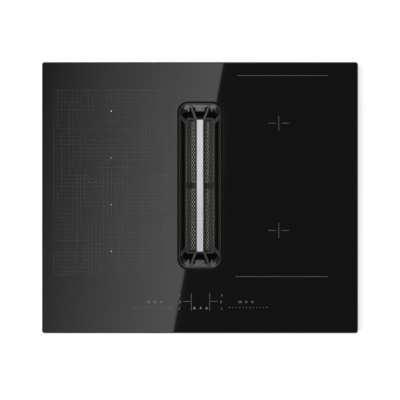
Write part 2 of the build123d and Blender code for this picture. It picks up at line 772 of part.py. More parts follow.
board_top_z = board_z + board_t
boards = []
heat_sinks = []
capacitors = []
chokes = []
for board_cx, board_cy in board_spots:
    boards.append(box_between(
        board_cx - board_w / 2, board_cx + board_w / 2, board_cy - board_d / 2, board_cy + board_d / 2,
        board_z, board_top_z,
    ))
    sink_x = board_cx - board_w / 2 + post_inset + heat_sink_w / 2
    sink = box_between(
        sink_x - heat_sink_w / 2, sink_x + heat_sink_w / 2,
        board_cy - heat_sink_d / 2, board_cy + heat_sink_d / 2,
        board_top_z, board_top_z + heat_sink_base,
    )
    for fin in range(heat_sink_fins):
        fin_x = sink_x - heat_sink_w / 2 + fin_t / 2 + fin * (heat_sink_w - fin_t) / (heat_sink_fins - 1)
        sink += box_between(
            fin_x - fin_t / 2, fin_x + fin_t / 2, board_cy - heat_sink_d / 2, board_cy + heat_sink_d / 2,
            board_top_z, board_top_z + heat_sink_h,
        )
    heat_sinks.append(sink)
    part_x = board_cx + board_w / 4
    for step in (-1, 0, 1):
        capacitor_y = board_cy + step * 3 * capacitor_r
        capacitor_top_z = board_top_z + capacitor_h
        capacitors.append(prism(capacitor_r, boss_sides, board_top_z, capacitor_top_z, part_x, capacitor_y))
    for end_y in (-1, 1):
        choke_y = board_cy + end_y * (board_d / 2 - 2 * choke_r)
        choke_top_z = board_top_z + choke_h
        choke = prism(choke_r, boss_sides, board_top_z, choke_top_z, part_x, choke_y)
        choke -= prism(choke_eye_r, boss_sides, board_top_z - 1, choke_top_z + 1, part_x, choke_y)
        chokes.append(choke)
save("power_boards", Compound(children=boards))
save("heat_sinks", Compound(children=heat_sinks))
save("capacitors", Compound(children=capacitors))
save("chokes", Compound(children=chokes))

# ---- Cooling fans ----------------------------------------------------------------------------
# Two small fans on the chassis floor, over the intake slots.

cooler_r = cooler_bore_r - cooler_tip_gap
cooler_base_z = pan_floor_z
cooler_top_z = cooler_base_z + cooler_h
cooler_rotor_z = cooler_base_z + cooler_arm_h + cooler_rotor_gap
cooler_rotor_top = cooler_top_z - cooler_rotor_gap
cooler_pin_top = cooler_rotor_top - cooler_cap_t - 2 * lift_gap
blade_h = cooler_rotor_top - cooler_rotor_z - 2 * cooler_blade_inset
for fan_name, (fan_cx, fan_cy) in zip(("left", "right"), fan_spots):
    housing = slab(cooler_size, cooler_size, cooler_corner_r, cooler_base_z, cooler_top_z, fan_cx, fan_cy)
    housing -= rod(cooler_bore_r, cooler_base_z - 1, cooler_top_z + 1, fan_cx, fan_cy)
    for turn in (0, 90, 180, 270):
        arm_place = Pos(fan_cx, fan_cy, cooler_base_z + cooler_arm_h / 2) * Rot(0, 0, turn)
        arm_place *= Pos(cooler_bore_r / 2 + 1, 0, 0)
        housing += arm_place * Box(cooler_bore_r + 2, cooler_arm_w, cooler_arm_h)
    housing += rod(cooler_hub_r, cooler_base_z, cooler_base_z + cooler_arm_h, fan_cx, fan_cy)
    housing += rod(cooler_pin_r, cooler_base_z, cooler_pin_top, fan_cx, fan_cy)
    save("fan_housing_" + fan_name, housing)
    rotor = rod(cooler_hub_r, cooler_rotor_z, cooler_rotor_top, fan_cx, fan_cy)
    for blade in range(cooler_blades):
        blade_place = Pos(fan_cx, fan_cy, (cooler_rotor_z + cooler_rotor_top) / 2)
        blade_place *= Rot(0, 0, 360.0 * blade / cooler_blades) * Pos(cooler_r / 2, 0, 0)
        blade_place *= Rot(cooler_blade_lean, 0, 0)
        rotor += blade_place * Box(cooler_r - cooler_blade_t, cooler_blade_t, blade_h)
    rotor -= rod(
        cooler_pin_r + running_gap, cooler_rotor_z - 1, cooler_rotor_top - cooler_cap_t, fan_cx, fan_cy
    )
    save("fan_rotor_" + fan_name, rotor)

# ---- Touch control ---------------------------------------------------------------------------
# Circuit board with sensor springs and number displays, in a moulded carrier under the glass.

carrier_z = glass_z - touch_h - sheet_gap
carrier_top = glass_z - sheet_gap
touch_carrier = slab(touch_w, touch_d, touch_corner_r, carrier_z, carrier_top, y=touch_y)
touch_carrier -= slab(
    touch_w - 2 * touch_wall, touch_d - 2 * touch_wall, touch_corner_r - touch_wall,
    carrier_z + touch_wall, glass_z, y=touch_y,
)
touch_board_z = carrier_z + touch_wall + touch_rib_h
for side_x in (-1, 1):
    leg_x = side_x * (touch_w / 2 - touch_leg_w / 2)
    touch_carrier += box_between(
        leg_x - touch_leg_w / 2, leg_x + touch_leg_w / 2,
        touch_y - touch_leg_w / 2, touch_y + touch_leg_w / 2,
        pan_floor_z, carrier_z + touch_wall,
    )
for step in (-1, 0, 1):
    rib_x = step * (touch_w / 2 - 2 * touch_leg_w)
    touch_carrier += box_between(
        rib_x - touch_rib_w / 2, rib_x + touch_rib_w / 2,
        touch_y - touch_d / 2 + touch_wall / 2, touch_y + touch_d / 2 - touch_wall / 2,
        carrier_z, touch_board_z,
    )
save("touch_carrier", touch_carrier)

board_inset = touch_wall + touch_board_margin
touch_board_top = touch_board_z + board_t
save("touch_board", box_between(
    -touch_w / 2 + board_inset, touch_w / 2 - board_inset,
    touch_y - touch_d / 2 + board_inset, touch_y + touch_d / 2 - board_inset,
    touch_board_z, touch_board_top,
))
save("display_modules", Compound(children=[
    box_between(
        x - display_w / 2, x + display_w / 2,
        touch_y + display_dy - display_d / 2, touch_y + display_dy + display_d / 2,
        touch_board_top, touch_board_top + display_h,
    )
    for x in display_xs
]))
save("key_springs", Compound(children=[
    prism(key_r, boss_sides, touch_board_top, glass_z - key_gap, x, touch_y + key_row_dy)
    for x in key_xs
]))

# ---- Mains terminal --------------------------------------------------------------------------
# Moulded frame below the chassis floor, closed by a lid, round a terminal block. A cable gland
# leads the mains cable in from behind.

terminal_z = pan_z - terminal_h
terminal_y = terminal_y_rear - terminal_d / 2
gland_z = terminal_z + terminal_h / 2
gland_r = gland_bore_r + gland_wall
terminal_box = slab(terminal_w, terminal_d, terminal_r, terminal_z, pan_z, terminal_x, terminal_y)
terminal_box -= slab(
    terminal_w - 2 * terminal_wall, terminal_d - 2 * terminal_wall, terminal_r - terminal_wall,
    terminal_z - 1, pan_z + 1, terminal_x, terminal_y,
)
gland_axis = Pos(terminal_x, terminal_y_rear, gland_z) * Rot(-90, 0, 0)
terminal_box -= gland_axis * Cylinder(gland_r + gland_gap, 4 * terminal_wall)
save("terminal_box", terminal_box)
save("terminal_lid", slab(
    terminal_w, terminal_d, terminal_r, terminal_z - terminal_wall, terminal_z, terminal_x, terminal_y
))
block_y = terminal_y + terminal_block_dy
terminal_block = box_between(
    terminal_x - terminal_block_w / 2, terminal_x + terminal_block_w / 2,
    block_y - terminal_block_d / 2, block_y + terminal_block_d / 2,
    pan_z - terminal_block_h, pan_z,
)
pole_z = pan_z - terminal_block_h / 2
for pole in range(terminal_poles):
    pole_x = terminal_x + (pole - (terminal_poles - 1) / 2) * terminal_block_w / terminal_poles
    terminal_block -= box_between(
        pole_x - terminal_wire_r, pole_x + terminal_wire_r,
        block_y - terminal_block_d, block_y + terminal_block_d,
        pole_z - terminal_wire_r, pole_z + terminal_wire_r,
    )
save("terminal_block", terminal_block)
gland_in = 3 * terminal_wall
cable_gland = gland_axis * Pos(0, 0, (gland_out - gland_in) / 2) * Cylinder(gland_r, gland_out + gland_in)
cable_gland += gland_axis * extrude(RegularPolygon(gland_nut_r, screw_sides), amount=gland_nut_t)
cable_gland -= gland_axis * Cylinder(gland_bore_r, 4 * gland_out)
save("cable_gland", cable_gland)

# ---- Plenum ----------------------------------------------------------------------------------
# Moulded tub screwed below the chassis: air comes in from the well and leaves through the fan.

plenum_w = plenum_x1 - plenum_x0
plenum_x = (plenum_x0 + plenum_x1) / 2
plenum_l = well_out_l + 2 * plenum_margin_y
inlet_hole_r = inlet_lip_r + inlet_ring_t + seat_gap
plenum_box = slab(
    plenum_w + 2 * plenum_flange_w, plenum_l + 2 * plenum_flange_w, plenum_r + plenum_flange_w,
    pan_z - moulding_t, pan_z, plenum_x, inlet_y,
)
plenum_box += slab(plenum_w, plenum_l, plenum_r, fan_h, pan_z, plenum_x, inlet_y)
plenum_box -= slab(
    plenum_w - 2 * moulding_t, plenum_l - 2 * moulding_t, plenum_r - moulding_t,
    fan_h + moulding_t, pan_z + 1, plenum_x, inlet_y,
)
plenum_box -= rod(inlet_hole_r, fan_h - 1, fan_h + moulding_t + 1, fan_x, fan_y)
save("plenum_box", plenum_box)

# ---- Scroll ----------------------------------------------------------------------------------
# Spiral housing of the fan. Its radius grows evenly round the wheel from the tongue to the mouth.

scroll_r = wheel_r + scroll_gap
mouth_x1 = fan_x + scroll_r + scroll_growth


def spiral_point(angle, grow):
    """A point of the spiral wall, with the wall's thickness added."""
    share = (angle - tongue_angle) / (360.0 - tongue_angle)
    radius = scroll_r + scroll_growth * share + grow
    return (fan_x + radius * math.cos(math.radians(angle)), fan_y + radius * math.sin(math.radians(angle)))


mouth_x0 = spiral_point(tongue_angle, 0.0)[0]


def scroll_outline(grow, end_y):
    """The outline of the air space, or with grow the outer face of its wall."""
    arcs = 4
    turn = (360.0 - tongue_angle) / (2 * arcs)
    points = [spiral_point(tongue_angle + turn * step, grow) for step in range(2 * arcs + 1)]
    wall = Polyline(points[-1], (fan_x, fan_y), points[0])
    for arc in range(arcs):
        wall += ThreePointArc(points[2 * arc], points[2 * arc + 1], points[2 * arc + 2])
    spiral = make_face(wall)
    eye = Pos(fan_x, fan_y) * Circle(scroll_r + grow)
    channel_x0 = mouth_x0 - grow
    channel_x1 = mouth_x1 + grow
    channel = Pos((channel_x0 + channel_x1) / 2, (fan_y + end_y) / 2) * Rectangle(
        channel_x1 - channel_x0, end_y - fan_y
    )
    return spiral + eye + channel


scroll_top = fan_h - lid_t
scroll_shell = extrude(scroll_outline(moulding_t, scroll_mouth_y), amount=scroll_top)
scroll_lid = extrude(Pos(0, 0, scroll_top) * scroll_outline(moulding_t, scroll_mouth_y), amount=lid_t)
ears = [spiral_point(angle, moulding_t + ear_r - ear_wall) for angle in ear_angles]
for ear_x, ear_y in ears:
    scroll_shell += rod(ear_r, scroll_top - ear_h, scroll_top, ear_x, ear_y)
    scroll_lid += rod(ear_r, scroll_top, fan_h, ear_x, ear_y)
scroll_shell -= extrude(Pos(0, 0, moulding_t) * scroll_outline(0.0, scroll_mouth_y + 5), amount=fan_h)
for ear_x, ear_y in ears:
    scroll_shell -= prism(ear_hole_r, screw_sides, scroll_top - ear_h - 1, scroll_top + 1, ear_x, ear_y)
    scroll_lid -= prism(ear_hole_r, screw_sides, scroll_top - 1, fan_h + 1, ear_x, ear_y)
scroll_shell -= rod(motor_hole_r, -1, moulding_t + 1, fan_x, fan_y)
scroll_lid -= rod(inlet_hole_r, scroll_top - 1, fan_h + 1, fan_x, fan_y)
save("scroll_shell", scroll_shell)
save("scroll_lid", scroll_lid)

# Bell-mouthed inlet ring, seated on the plenum floor.
ring_top = fan_h + moulding_t
ring_low = ring_top - inlet_ring_depth
bell_step = (inlet_lip_r - inlet_throat_r) / 3
ring_section = Polyline(
    (inlet_throat_r, ring_low),
    (inlet_throat_r + bell_step / 2, ring_top - inlet_ring_depth / 2),
    (inlet_lip_r, ring_top + inlet_ring_t),
    (inlet_lip_r + inlet_flange_w, ring_top + inlet_ring_t),
    (inlet_lip_r + inlet_flange_w, ring_top),
    (inlet_lip_r + inlet_ring_t / 2, ring_top),
    (inlet_throat_r + inlet_ring_t + bell_step / 2, ring_top - inlet_ring_depth / 2),
    (inlet_throat_r + inlet_ring_t, ring_low),
    close=True,
)
inlet_ring = revolve(Plane.XZ * make_face(ring_section), Axis.Z)
save("inlet_ring", Pos(fan_x, fan_y, 0) * inlet_ring)

# ---- Fan wheel -------------------------------------------------------------------------------
# Wheel with forward-curved blades between a back plate and a ring, with a hub over the motor.

rotor_r = stator_r + air_gap + rotor_t
hub_in_r = rotor_r + seat_gap
hub_out_r = hub_in_r + wheel_plate_t
wheel_top = wheel_z + wheel_h
impeller = rod(wheel_r, wheel_z, wheel_z + wheel_plate_t)
impeller += rod(hub_out_r, wheel_z, rotor_top_z + wheel_plate_t)
impeller -= rod(hub_in_r, wheel_z - 1, rotor_top_z)
impeller -= rod(2 * shaft_r, rotor_top_z - 1, rotor_top_z + 2 * wheel_plate_t)
impeller += rod(wheel_r, wheel_top - wheel_plate_t, wheel_top) - rod(
    wheel_r - wheel_ring_w, wheel_top - wheel_plate_t - 1, wheel_top + 1
)
blade_line = [
    Vector(wheel_eye_r, 0),
    Vector((wheel_eye_r + wheel_r) / 2, 0).rotate(Axis.Z, -blade_bow),
    Vector(wheel_r - wheel_blade_inset, 0).rotate(Axis.Z, blade_lead),
]
blade_edge = [point + Vector(0, -wheel_blade_t) for point in reversed(blade_line)]
blade_face = make_face(Polyline(*blade_line, *blade_edge, close=True))
blade_solid = extrude(Pos(0, 0, wheel_z + wheel_plate_t) * blade_face, amount=wheel_h - 2 * wheel_plate_t)
impeller += [Rot(0, 0, 360.0 * blade / wheel_blades) * blade_solid for blade in range(wheel_blades)]
save("impeller", Pos(fan_x, fan_y, 0) * impeller)

# ---- Fan motor -------------------------------------------------------------------------------
# External-rotor motor inside the hub of the wheel.

base_z = moulding_t
tube_z = base_z + motor_base_t
motor_base = rod(motor_base_r, base_z, tube_z) + rod(motor_tube_r, tube_z - 1, tube_z + motor_tube_h)
motor_base -= rod(bearing_r, tube_z, tube_z + motor_tube_h + 1)
save("motor_base", Pos(fan_x, fan_y, 0) * motor_base)
stator = rod(stator_r, stator_z, stator_z + stator_h)
stator -= rod(motor_tube_r + stator_gap, stator_z - 1, stator_z + stator_h + 1)
save("motor_stator", Pos(fan_x, fan_y, 0) * stator)
bearings = [
    rod(bearing_r, low_z, low_z + bearing_h, fan_x, fan_y)
    - rod(shaft_r + running_gap, low_z - 1, low_z + bearing_h + 1, fan_x, fan_y)
    for low_z in (tube_z, tube_z + motor_tube_h - bearing_h)
]
save("motor_bearings", Compound(children=bearings))
rotor_cup = rod(rotor_r, rotor_skirt_z, rotor_top_z)
rotor_cup -= rod(rotor_r - rotor_t, rotor_skirt_z - 1, rotor_top_z - rotor_t)
rotor_cup -= rod(shaft_r, rotor_skirt_z, rotor_top_z + 1)
save("motor_rotor", Pos(fan_x, fan_y, 0) * rotor_cup)
save("motor_shaft", Pos(fan_x, fan_y, 0) * rod(shaft_r, tube_z + lift_gap, rotor_top_z))

# ---- Outlet ----------------------------------------------------------------------------------
# Frame with two spring-closed backflow flaps, and a duct that widens to a flat-duct spigot.

frame_y0 = scroll_mouth_y
frame_y1 = frame_y0 + flap_frame_t
mouth_mid = (mouth_x0 + mouth_x1) / 2
air_z0 = moulding_t
air_z1 = fan_h - moulding_t
flap_y = (frame_y0 + frame_y1) / 2
flap_frame = box_between(mouth_x0 - moulding_t, mouth_x1 + moulding_t, frame_y0, frame_y1, 0, fan_h)
window_z0 = air_z0 + flap_frame_lip
window_z1 = air_z1 - flap_frame_lip
flap_frame -= box_between(mouth_x0, mouth_x1, frame_y0 - 1, frame_y1 + 1, window_z0, window_z1)
flap_frame += box_between(
    mouth_mid - mullion_w / 2, mouth_mid + mullion_w / 2, frame_y0, frame_y1, window_z0 - 1, window_z1 + 1
)
flap_z0 = window_z0 + flap_side_gap
flap_z1 = window_z1 - flap_side_gap
for side_x, flap_name in ((-1, "left"), (1, "right")):
    pin_x = mouth_mid + side_x * (mullion_w / 2 + flap_side_gap + flap_barrel_r)
    edge_x = mouth_mid + side_x * (mouth_x1 - mouth_mid - flap_edge_gap)
    flap = rod(flap_barrel_r, flap_z0, flap_z1, pin_x, flap_y)
    flap += box_between(pin_x, edge_x, flap_y - flap_t / 2, flap_y + flap_t / 2, flap_z0, flap_z1)
    flap += rod(flap_pin_r, window_z0 - flap_pin_l, window_z1 + flap_pin_l, pin_x, flap_y)
    save("flap_" + flap_name, flap)
    flap_frame -= rod(
        flap_pin_r + running_gap, window_z0 - flap_pin_l - lift_gap, window_z1 + flap_pin_l + lift_gap,
        pin_x, flap_y,
    )
save("flap_frame", flap_frame)

duct_end_y = pan_d / 2 + duct_past_pan
spigot_y = duct_end_y - duct_spigot_l


def duct_solid(grow):
    """The air space of the duct, or with grow its outer face, carried on past both ends."""
    half_w = duct_w / 2 - duct_t + grow
    half_h = duct_h / 2 - duct_t + grow
    start_y = frame_y1 - duct_t
    end_y = duct_end_y + duct_t
    plan = Polyline(
        (mouth_x0 - grow, start_y), (mouth_x0 - grow, frame_y1), (duct_x - half_w, spigot_y),
        (duct_x - half_w, end_y), (duct_x + half_w, end_y), (duct_x + half_w, spigot_y),
        (mouth_x1 + grow, frame_y1), (mouth_x1 + grow, start_y), close=True,
    )
    side = Polyline(
        (start_y, air_z0 - grow), (frame_y1, air_z0 - grow), (spigot_y, fan_h / 2 - half_h),
        (end_y, fan_h / 2 - half_h), (end_y, fan_h / 2 + half_h), (spigot_y, fan_h / 2 + half_h),
        (frame_y1, air_z1 + grow), (start_y, air_z1 + grow), close=True,
    )
    side_solid = extrude(Plane.YZ * make_face(side), amount=glass_w, both=True)
    return extrude(make_face(plan), amount=glass_w) & side_solid


outlet_duct = duct_solid(duct_t) - duct_solid(0.0)
outlet_duct &= box_between(-glass_w, glass_w, frame_y1, duct_end_y, -1, glass_w)
save("outlet_duct", outlet_duct)

# ---- Fixing brackets and screws --------------------------------------------------------------
# Four slotted brackets with forked feet clamp the chassis to the worktop from below.

bracket_x0 = frame_w / 2 + sheet_gap
foot_top_z = glass_z - seal_t - worktop_t
bracket_screws = []
for side_x, side_name in ((-1, "left"), (1, "right")):
    for side_y, end_name in ((-1, "front"), (1, "rear")):
        spot_y = side_y * bracket_y
        near = side_x * bracket_x0
        far = side_x * (bracket_x0 + bracket_t)
        bracket = box_between(
            near, far, spot_y - bracket_w / 2, spot_y + bracket_w / 2,
            foot_top_z - bracket_down, foot_top_z + bracket_up,
        )
        bracket += box_between(
            near, far + side_x * bracket_foot_l, spot_y - bracket_w / 2, spot_y + bracket_w / 2,
            foot_top_z - bracket_foot_t, foot_top_z,
        )
        fork_half_w = screw_head_r + bracket_slot_gap
        bracket -= box_between(
            far, far + side_x * (bracket_foot_l + 1), spot_y - fork_half_w, spot_y + fork_half_w,
            foot_top_z - bracket_foot_t, foot_top_z,
        )
        slot_half_w = screw_r + bracket_slot_gap
        bracket -= box_between(
            near - side_x, far + side_x, spot_y - slot_half_w, spot_y + slot_half_w,
            foot_top_z - bracket_down + screw_r, foot_top_z + bracket_up - screw_r,
        )
        save("bracket_" + side_name + "_" + end_name, bracket)
        shank_in = pan_w / 2 - 2 * sheet_t
        shank_out = bracket_x0 + bracket_t + sheet_gap
        screw = prism(screw_r, screw_sides, shank_in, shank_out)
        screw += prism(screw_head_r, screw_sides, shank_out, shank_out + screw_head_t)
        screw = Pos(0, spot_y, bracket_screw_z) * Rot(0, side_x * 90, 0) * screw
        bracket_screws.append(screw)
save("bracket_screws", Compound(children=bracket_screws))

scroll_screws = []
for ear_x, ear_y in ears:
    ear_z = scroll_top - ear_h
    screw = prism(screw_r, screw_sides, ear_z, fan_h - sheet_gap, ear_x, ear_y)
    screw += prism(screw_head_r, screw_sides, ear_z - screw_head_t, ear_z, ear_x, ear_y)
    scroll_screws.append(screw)
save("scroll_screws", Compound(children=scroll_screws))
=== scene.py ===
import math
import random
import bmesh
import bpy
from mathutils import Matrix, Vector


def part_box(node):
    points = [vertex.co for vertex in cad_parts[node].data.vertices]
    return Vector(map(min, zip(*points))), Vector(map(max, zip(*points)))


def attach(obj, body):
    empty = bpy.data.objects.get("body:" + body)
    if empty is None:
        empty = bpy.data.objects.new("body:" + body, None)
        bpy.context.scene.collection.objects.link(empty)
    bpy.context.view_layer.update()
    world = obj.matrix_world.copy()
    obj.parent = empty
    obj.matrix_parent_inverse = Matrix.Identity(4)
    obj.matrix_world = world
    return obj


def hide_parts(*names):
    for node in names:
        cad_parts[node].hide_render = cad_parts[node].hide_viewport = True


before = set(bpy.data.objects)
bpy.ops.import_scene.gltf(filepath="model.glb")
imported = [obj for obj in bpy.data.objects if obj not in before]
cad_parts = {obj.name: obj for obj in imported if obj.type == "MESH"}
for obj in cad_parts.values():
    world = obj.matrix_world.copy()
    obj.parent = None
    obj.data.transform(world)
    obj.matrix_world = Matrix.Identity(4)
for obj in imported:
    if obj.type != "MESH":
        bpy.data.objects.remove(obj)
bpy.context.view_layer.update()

# ---- Chassis pan and glass frame -------------------------------------------------------------
# Folded from zinc-coated steel sheet, spot-welded at the corners and bonded to the glass.
# The coating freezes in crystals a few millimetres across, some of them brighter than others.

MM = 0.001


def node(tree, kind, inputs=None, **settings):
    """Adds a shader node. An input is given a value, or the socket that feeds it."""
    made = tree.nodes.new(kind)
    for name, value in settings.items():
        setattr(made, name, value)
    for name, value in (inputs or {}).items():
        if isinstance(value, bpy.types.NodeSocket):
            tree.links.new(value, made.inputs[name])
        else:
            made.inputs[name].default_value = value
    return made


def effect(name, colours, numbers):
    """An empty node group with those inputs, which gives out a colour, a roughness and a height."""
    tree = bpy.data.node_groups.new(name, "ShaderNodeTree")
    for label in colours:
        tree.interface.new_socket(label, in_out="INPUT", socket_type="NodeSocketColor")
    for label in numbers:
        tree.interface.new_socket(label, in_out="INPUT", socket_type="NodeSocketFloat")
    tree.interface.new_socket("Colour", in_out="OUTPUT", socket_type="NodeSocketColor")
    tree.interface.new_socket("Roughness", in_out="OUTPUT", socket_type="NodeSocketFloat")
    tree.interface.new_socket("Height", in_out="OUTPUT", socket_type="NodeSocketFloat")
    given = tree.nodes.new("NodeGroupInput").outputs
    place = node(tree, "ShaderNodeTexCoord").outputs["Object"]
    return tree, given, place, tree.nodes.new("NodeGroupOutput").inputs


def between(tree, share, low, high):
    """The number that lies that share of the way from low to high."""
    made = node(tree, "ShaderNodeMapRange", {"Value": share, "To Min": low, "To Max": high})
    return made.outputs["Result"]


def blend_colours(tree, share, first, second):
    """The colour that lies that share of the way from the first to the second."""
    mixed = node(tree, "ShaderNodeMix", {0: share, 6: first, 7: second}, data_type="RGBA")
    return mixed.outputs[2]


def cloudy(tree, place, scale, detail):
    """Cloudy noise between 0 and 1, with scale as its count to the metre."""
    made = node(tree, "ShaderNodeTexNoise", {"Vector": place, "Scale": scale, "Detail": detail})
    return made.outputs["Fac"]


def give_out(tree, out, colour, roughness, height):
    """Feeds the three outputs of an effect."""
    tree.links.new(colour, out["Colour"])
    tree.links.new(roughness, out["Roughness"])
    tree.links.new(height, out["Height"])


def zinc_crystals():
    """Crystals of the zinc coating, with the bloom of the passivation over them."""
    tree, given, place, out = effect("zinc_crystals", ("Dark", "Light"), ("Crystals", "Smooth", "Rough"))
    swirl = node(tree, "ShaderNodeTexNoise", {"Vector": place, "Scale": 90.0, "Detail": 2.0})
    shift = node(
        tree, "ShaderNodeVectorMath", {0: swirl.outputs["Color"], 1: (0.006,) * 3}, operation="MULTIPLY"
    )
    moved = node(tree, "ShaderNodeVectorMath", {0: place, 1: shift.outputs[0]}, operation="ADD")
    cells = node(tree, "ShaderNodeTexVoronoi", {"Vector": moved.outputs[0], "Scale": given["Crystals"]})
    shade = node(tree, "ShaderNodeSeparateColor", {"Color": cells.outputs["Color"]})
    bloom = cloudy(tree, place, 12.0, 4.0)
    both = node(tree, "ShaderNodeMath", {0: shade.outputs[0], 1: bloom}, operation="MULTIPLY")
    give_out(
        tree, out,
        colour=blend_colours(tree, both.outputs[0], given["Dark"], given["Light"]),
        roughness=between(tree, shade.outputs[1], given["Smooth"], given["Rough"]),
        height=cells.outputs["Distance"],
    )
    return tree


def finish(name, group, values, bump, metallic=0.0, **fixed):
    """A material with its colour, roughness and relief from an effect, whose depth is the bump in mm."""
    material = bpy.data.materials.new(name)
    material.use_nodes = True
    tree = material.node_tree
    shader = tree.nodes["Principled BSDF"]
    shader.inputs["Metallic"].default_value = metallic
    for label, value in fixed.items():
        shader.inputs[label.replace("_", " ")].default_value = value
    made = node(tree, "ShaderNodeGroup", node_tree=group)
    for label, value in values.items():
        made.inputs[label].default_value = (*value, 1) if isinstance(value, tuple) else value
    tree.links.new(made.outputs["Colour"], shader.inputs["Base Color"])
    tree.links.new(made.outputs["Roughness"], shader.inputs["Roughness"])
    relief = node(tree, "ShaderNodeBump", {"Height": made.outputs["Height"], "Distance": bump * MM})
    tree.links.new(relief.outputs["Normal"], shader.inputs["Normal"])
    return material


def wear(material, *names):
    """Gives CAD nodes their finish."""
    for name in names:
        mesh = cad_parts[name].data
        if not mesh.materials:
            mesh.materials.append(material)
        for index in range(len(mesh.materials)):
            mesh.materials[index] = material


zinc_sheet = finish(
    "zinc_sheet", zinc_crystals(),
    {"Dark": (0.33, 0.34, 0.35), "Light": (0.72, 0.73, 0.74), "Crystals": 160.0,
     "Smooth": 0.28, "Rough": 0.5},
    bump=0.01, metallic=1.0,
)
wear(zinc_sheet, "chassis_pan", "glass_frame")

# ---- Power boards ----------------------------------------------------------------------------
# Two glass-fibre boards with green solder mask, on posts of the chassis floor. Each carries a
# finned aluminium extrusion, tall filter capacitors in printed sleeves and copper-wound chokes.


def mottle():
    """Slow patches of two close tones under a fine grain, as on paint, castings and mouldings."""
    tree, given, place, out = effect("mottle", ("Dark", "Light"), ("Patches", "Grain", "Smooth", "Rough"))
    patches = cloudy(tree, place, given["Patches"], 5.0)
    spread = node(tree, "ShaderNodeMapRange", {"Value": patches, "From Min": 0.35, "From Max": 0.65})
    grain = cloudy(tree, place, given["Grain"], 3.0)
    tone = node(tree, "ShaderNodeMath", {0: spread.outputs[0], 1: grain}, operation="MULTIPLY")
    give_out(
        tree, out,
        colour=blend_colours(tree, tone.outputs[0], given["Dark"], given["Light"]),
        roughness=between(tree, grain, given["Smooth"], given["Rough"]),
        height=grain,
    )
    return tree


MOTTLE = mottle()


def mottled(name, dark, light, patches, grain, smooth, rough, bump, **more):
    """A mottled finish, with patches and grain counted to the metre."""
    tones = {"Dark": dark, "Light": light, "Patches": patches, "Grain": grain}
    return finish(name, MOTTLE, {**tones, "Smooth": smooth, "Rough": rough}, bump, **more)


def drawn_grain():
    """Long fine streaks along Y, left by a brush, a roller or a die."""
    tree, given, place, out = effect("drawn_grain", ("Dark", "Light"), ("Streaks", "Smooth", "Rough"))
    narrow = node(tree, "ShaderNodeMapping", {"Vector": place, "Scale": (1.0, 0.02, 1.0)})
    streaks = cloudy(tree, narrow.outputs[0], given["Streaks"], 6.0)
    spread = node(tree, "ShaderNodeMapRange", {"Value": streaks, "From Min": 0.3, "From Max": 0.7})
    give_out(
        tree, out,
        colour=blend_colours(tree, spread.outputs[0], given["Dark"], given["Light"]),
        roughness=between(tree, spread.outputs[0], given["Smooth"], given["Rough"]),
        height=streaks,
    )
    return tree


DRAWN_GRAIN = drawn_grain()


def drawn(name, dark, light, streaks, smooth, rough, bump):
    """Bare metal with a drawn grain, with the streaks counted to the metre."""
    tones = {"Dark": dark, "Light": light, "Streaks": streaks}
    return finish(name, DRAWN_GRAIN, {**tones, "Smooth": smooth, "Rough": rough}, bump, metallic=1.0)


def laid_tracks():
    """Copper tracks that show as a paler green through the solder mask."""
    tree, given, place, out = effect("laid_tracks", ("Dark", "Light"), ("Tracks", "Smooth", "Rough"))
    runs = node(
        tree, "ShaderNodeTexBrick",
        {"Vector": place, "Scale": given["Tracks"], "Mortar Size": 0.03, "Color1": (0, 0, 0, 1),
         "Color2": (0.2, 0.2, 0.2, 1), "Mortar": (1, 1, 1, 1)},
    )
    give_out(
        tree, out,
        colour=blend_colours(tree, runs.outputs["Fac"], given["Dark"], given["Light"]),
        roughness=between(tree, runs.outputs["Fac"], given["Rough"], given["Smooth"]),
        height=runs.outputs["Fac"],
    )
    return tree


circuit_board = finish(
    "circuit_board", laid_tracks(),
    {"Dark": (0.012, 0.09, 0.035), "Light": (0.03, 0.17, 0.07), "Tracks": 60.0,
     "Smooth": 0.25, "Rough": 0.4},
    bump=0.03, Coat_Weight=0.3,
)
coil_aluminium = drawn(
    "coil_aluminium", (0.62, 0.63, 0.64), (0.8, 0.81, 0.82),
    streaks=900.0, smooth=0.28, rough=0.42, bump=0.01,
)
capacitor_can = mottled(
    "capacitor_can", (0.015, 0.02, 0.05), (0.03, 0.04, 0.09),
    patches=60.0, grain=900.0, smooth=0.3, rough=0.45, bump=0.01,
)
choke_copper = mottled(
    "choke_copper", (0.45, 0.14, 0.05), (0.75, 0.32, 0.14),
    patches=300.0, grain=1200.0, smooth=0.25, rough=0.4, bump=0.05, metallic=1.0, Coat_Weight=0.6,
)
wear(circuit_board, "power_boards", "touch_board")
wear(coil_aluminium, "heat_sinks", "coil_plate_left", "coil_plate_right")
wear(capacitor_can, "capacitors")
wear(choke_copper, "chokes")

# ---- Induction coils -------------------------------------------------------------------------
# Stranded copper wire wound flat on a moulded former, with ferrite bars below and mica above.
# A clip holds the temperature sensor in the middle. The windings are wound here as real spirals.

WIRE_R = 2.1
WINDINGS = {
    "coil_winding_left_rear": "squared",
    "coil_winding_left_front": "squared",
    "coil_winding_right_rear": "round",
    "coil_winding_right_front": "round",
}
SQUARED_CORNER_R = 60.0
SQUARED_EYE = (29.0, 21.0, 20.0)
ROUND_EYE_R = 24.0
TURN_GAP = 0.5
CORNER_SLACK = 0.01
STEPS_PER_TURN = 48


def strands():
    """Enamelled strands twisted into one wire: fine slanted bands of light and dark copper."""
    tree, given, place, out = effect("strands", ("Dark", "Light"), ("Twist", "Smooth", "Rough"))
    bands = node(
        tree, "ShaderNodeTexWave",
        {"Vector": place, "Scale": given["Twist"], "Distortion": 1.5, "Detail": 2.0},
        bands_direction="DIAGONAL",
    )
    give_out(
        tree, out,
        colour=blend_colours(tree, bands.outputs["Fac"], given["Dark"], given["Light"]),
        roughness=between(tree, bands.outputs["Fac"], given["Rough"], given["Smooth"]),
        height=bands.outputs["Fac"],
    )
    return tree


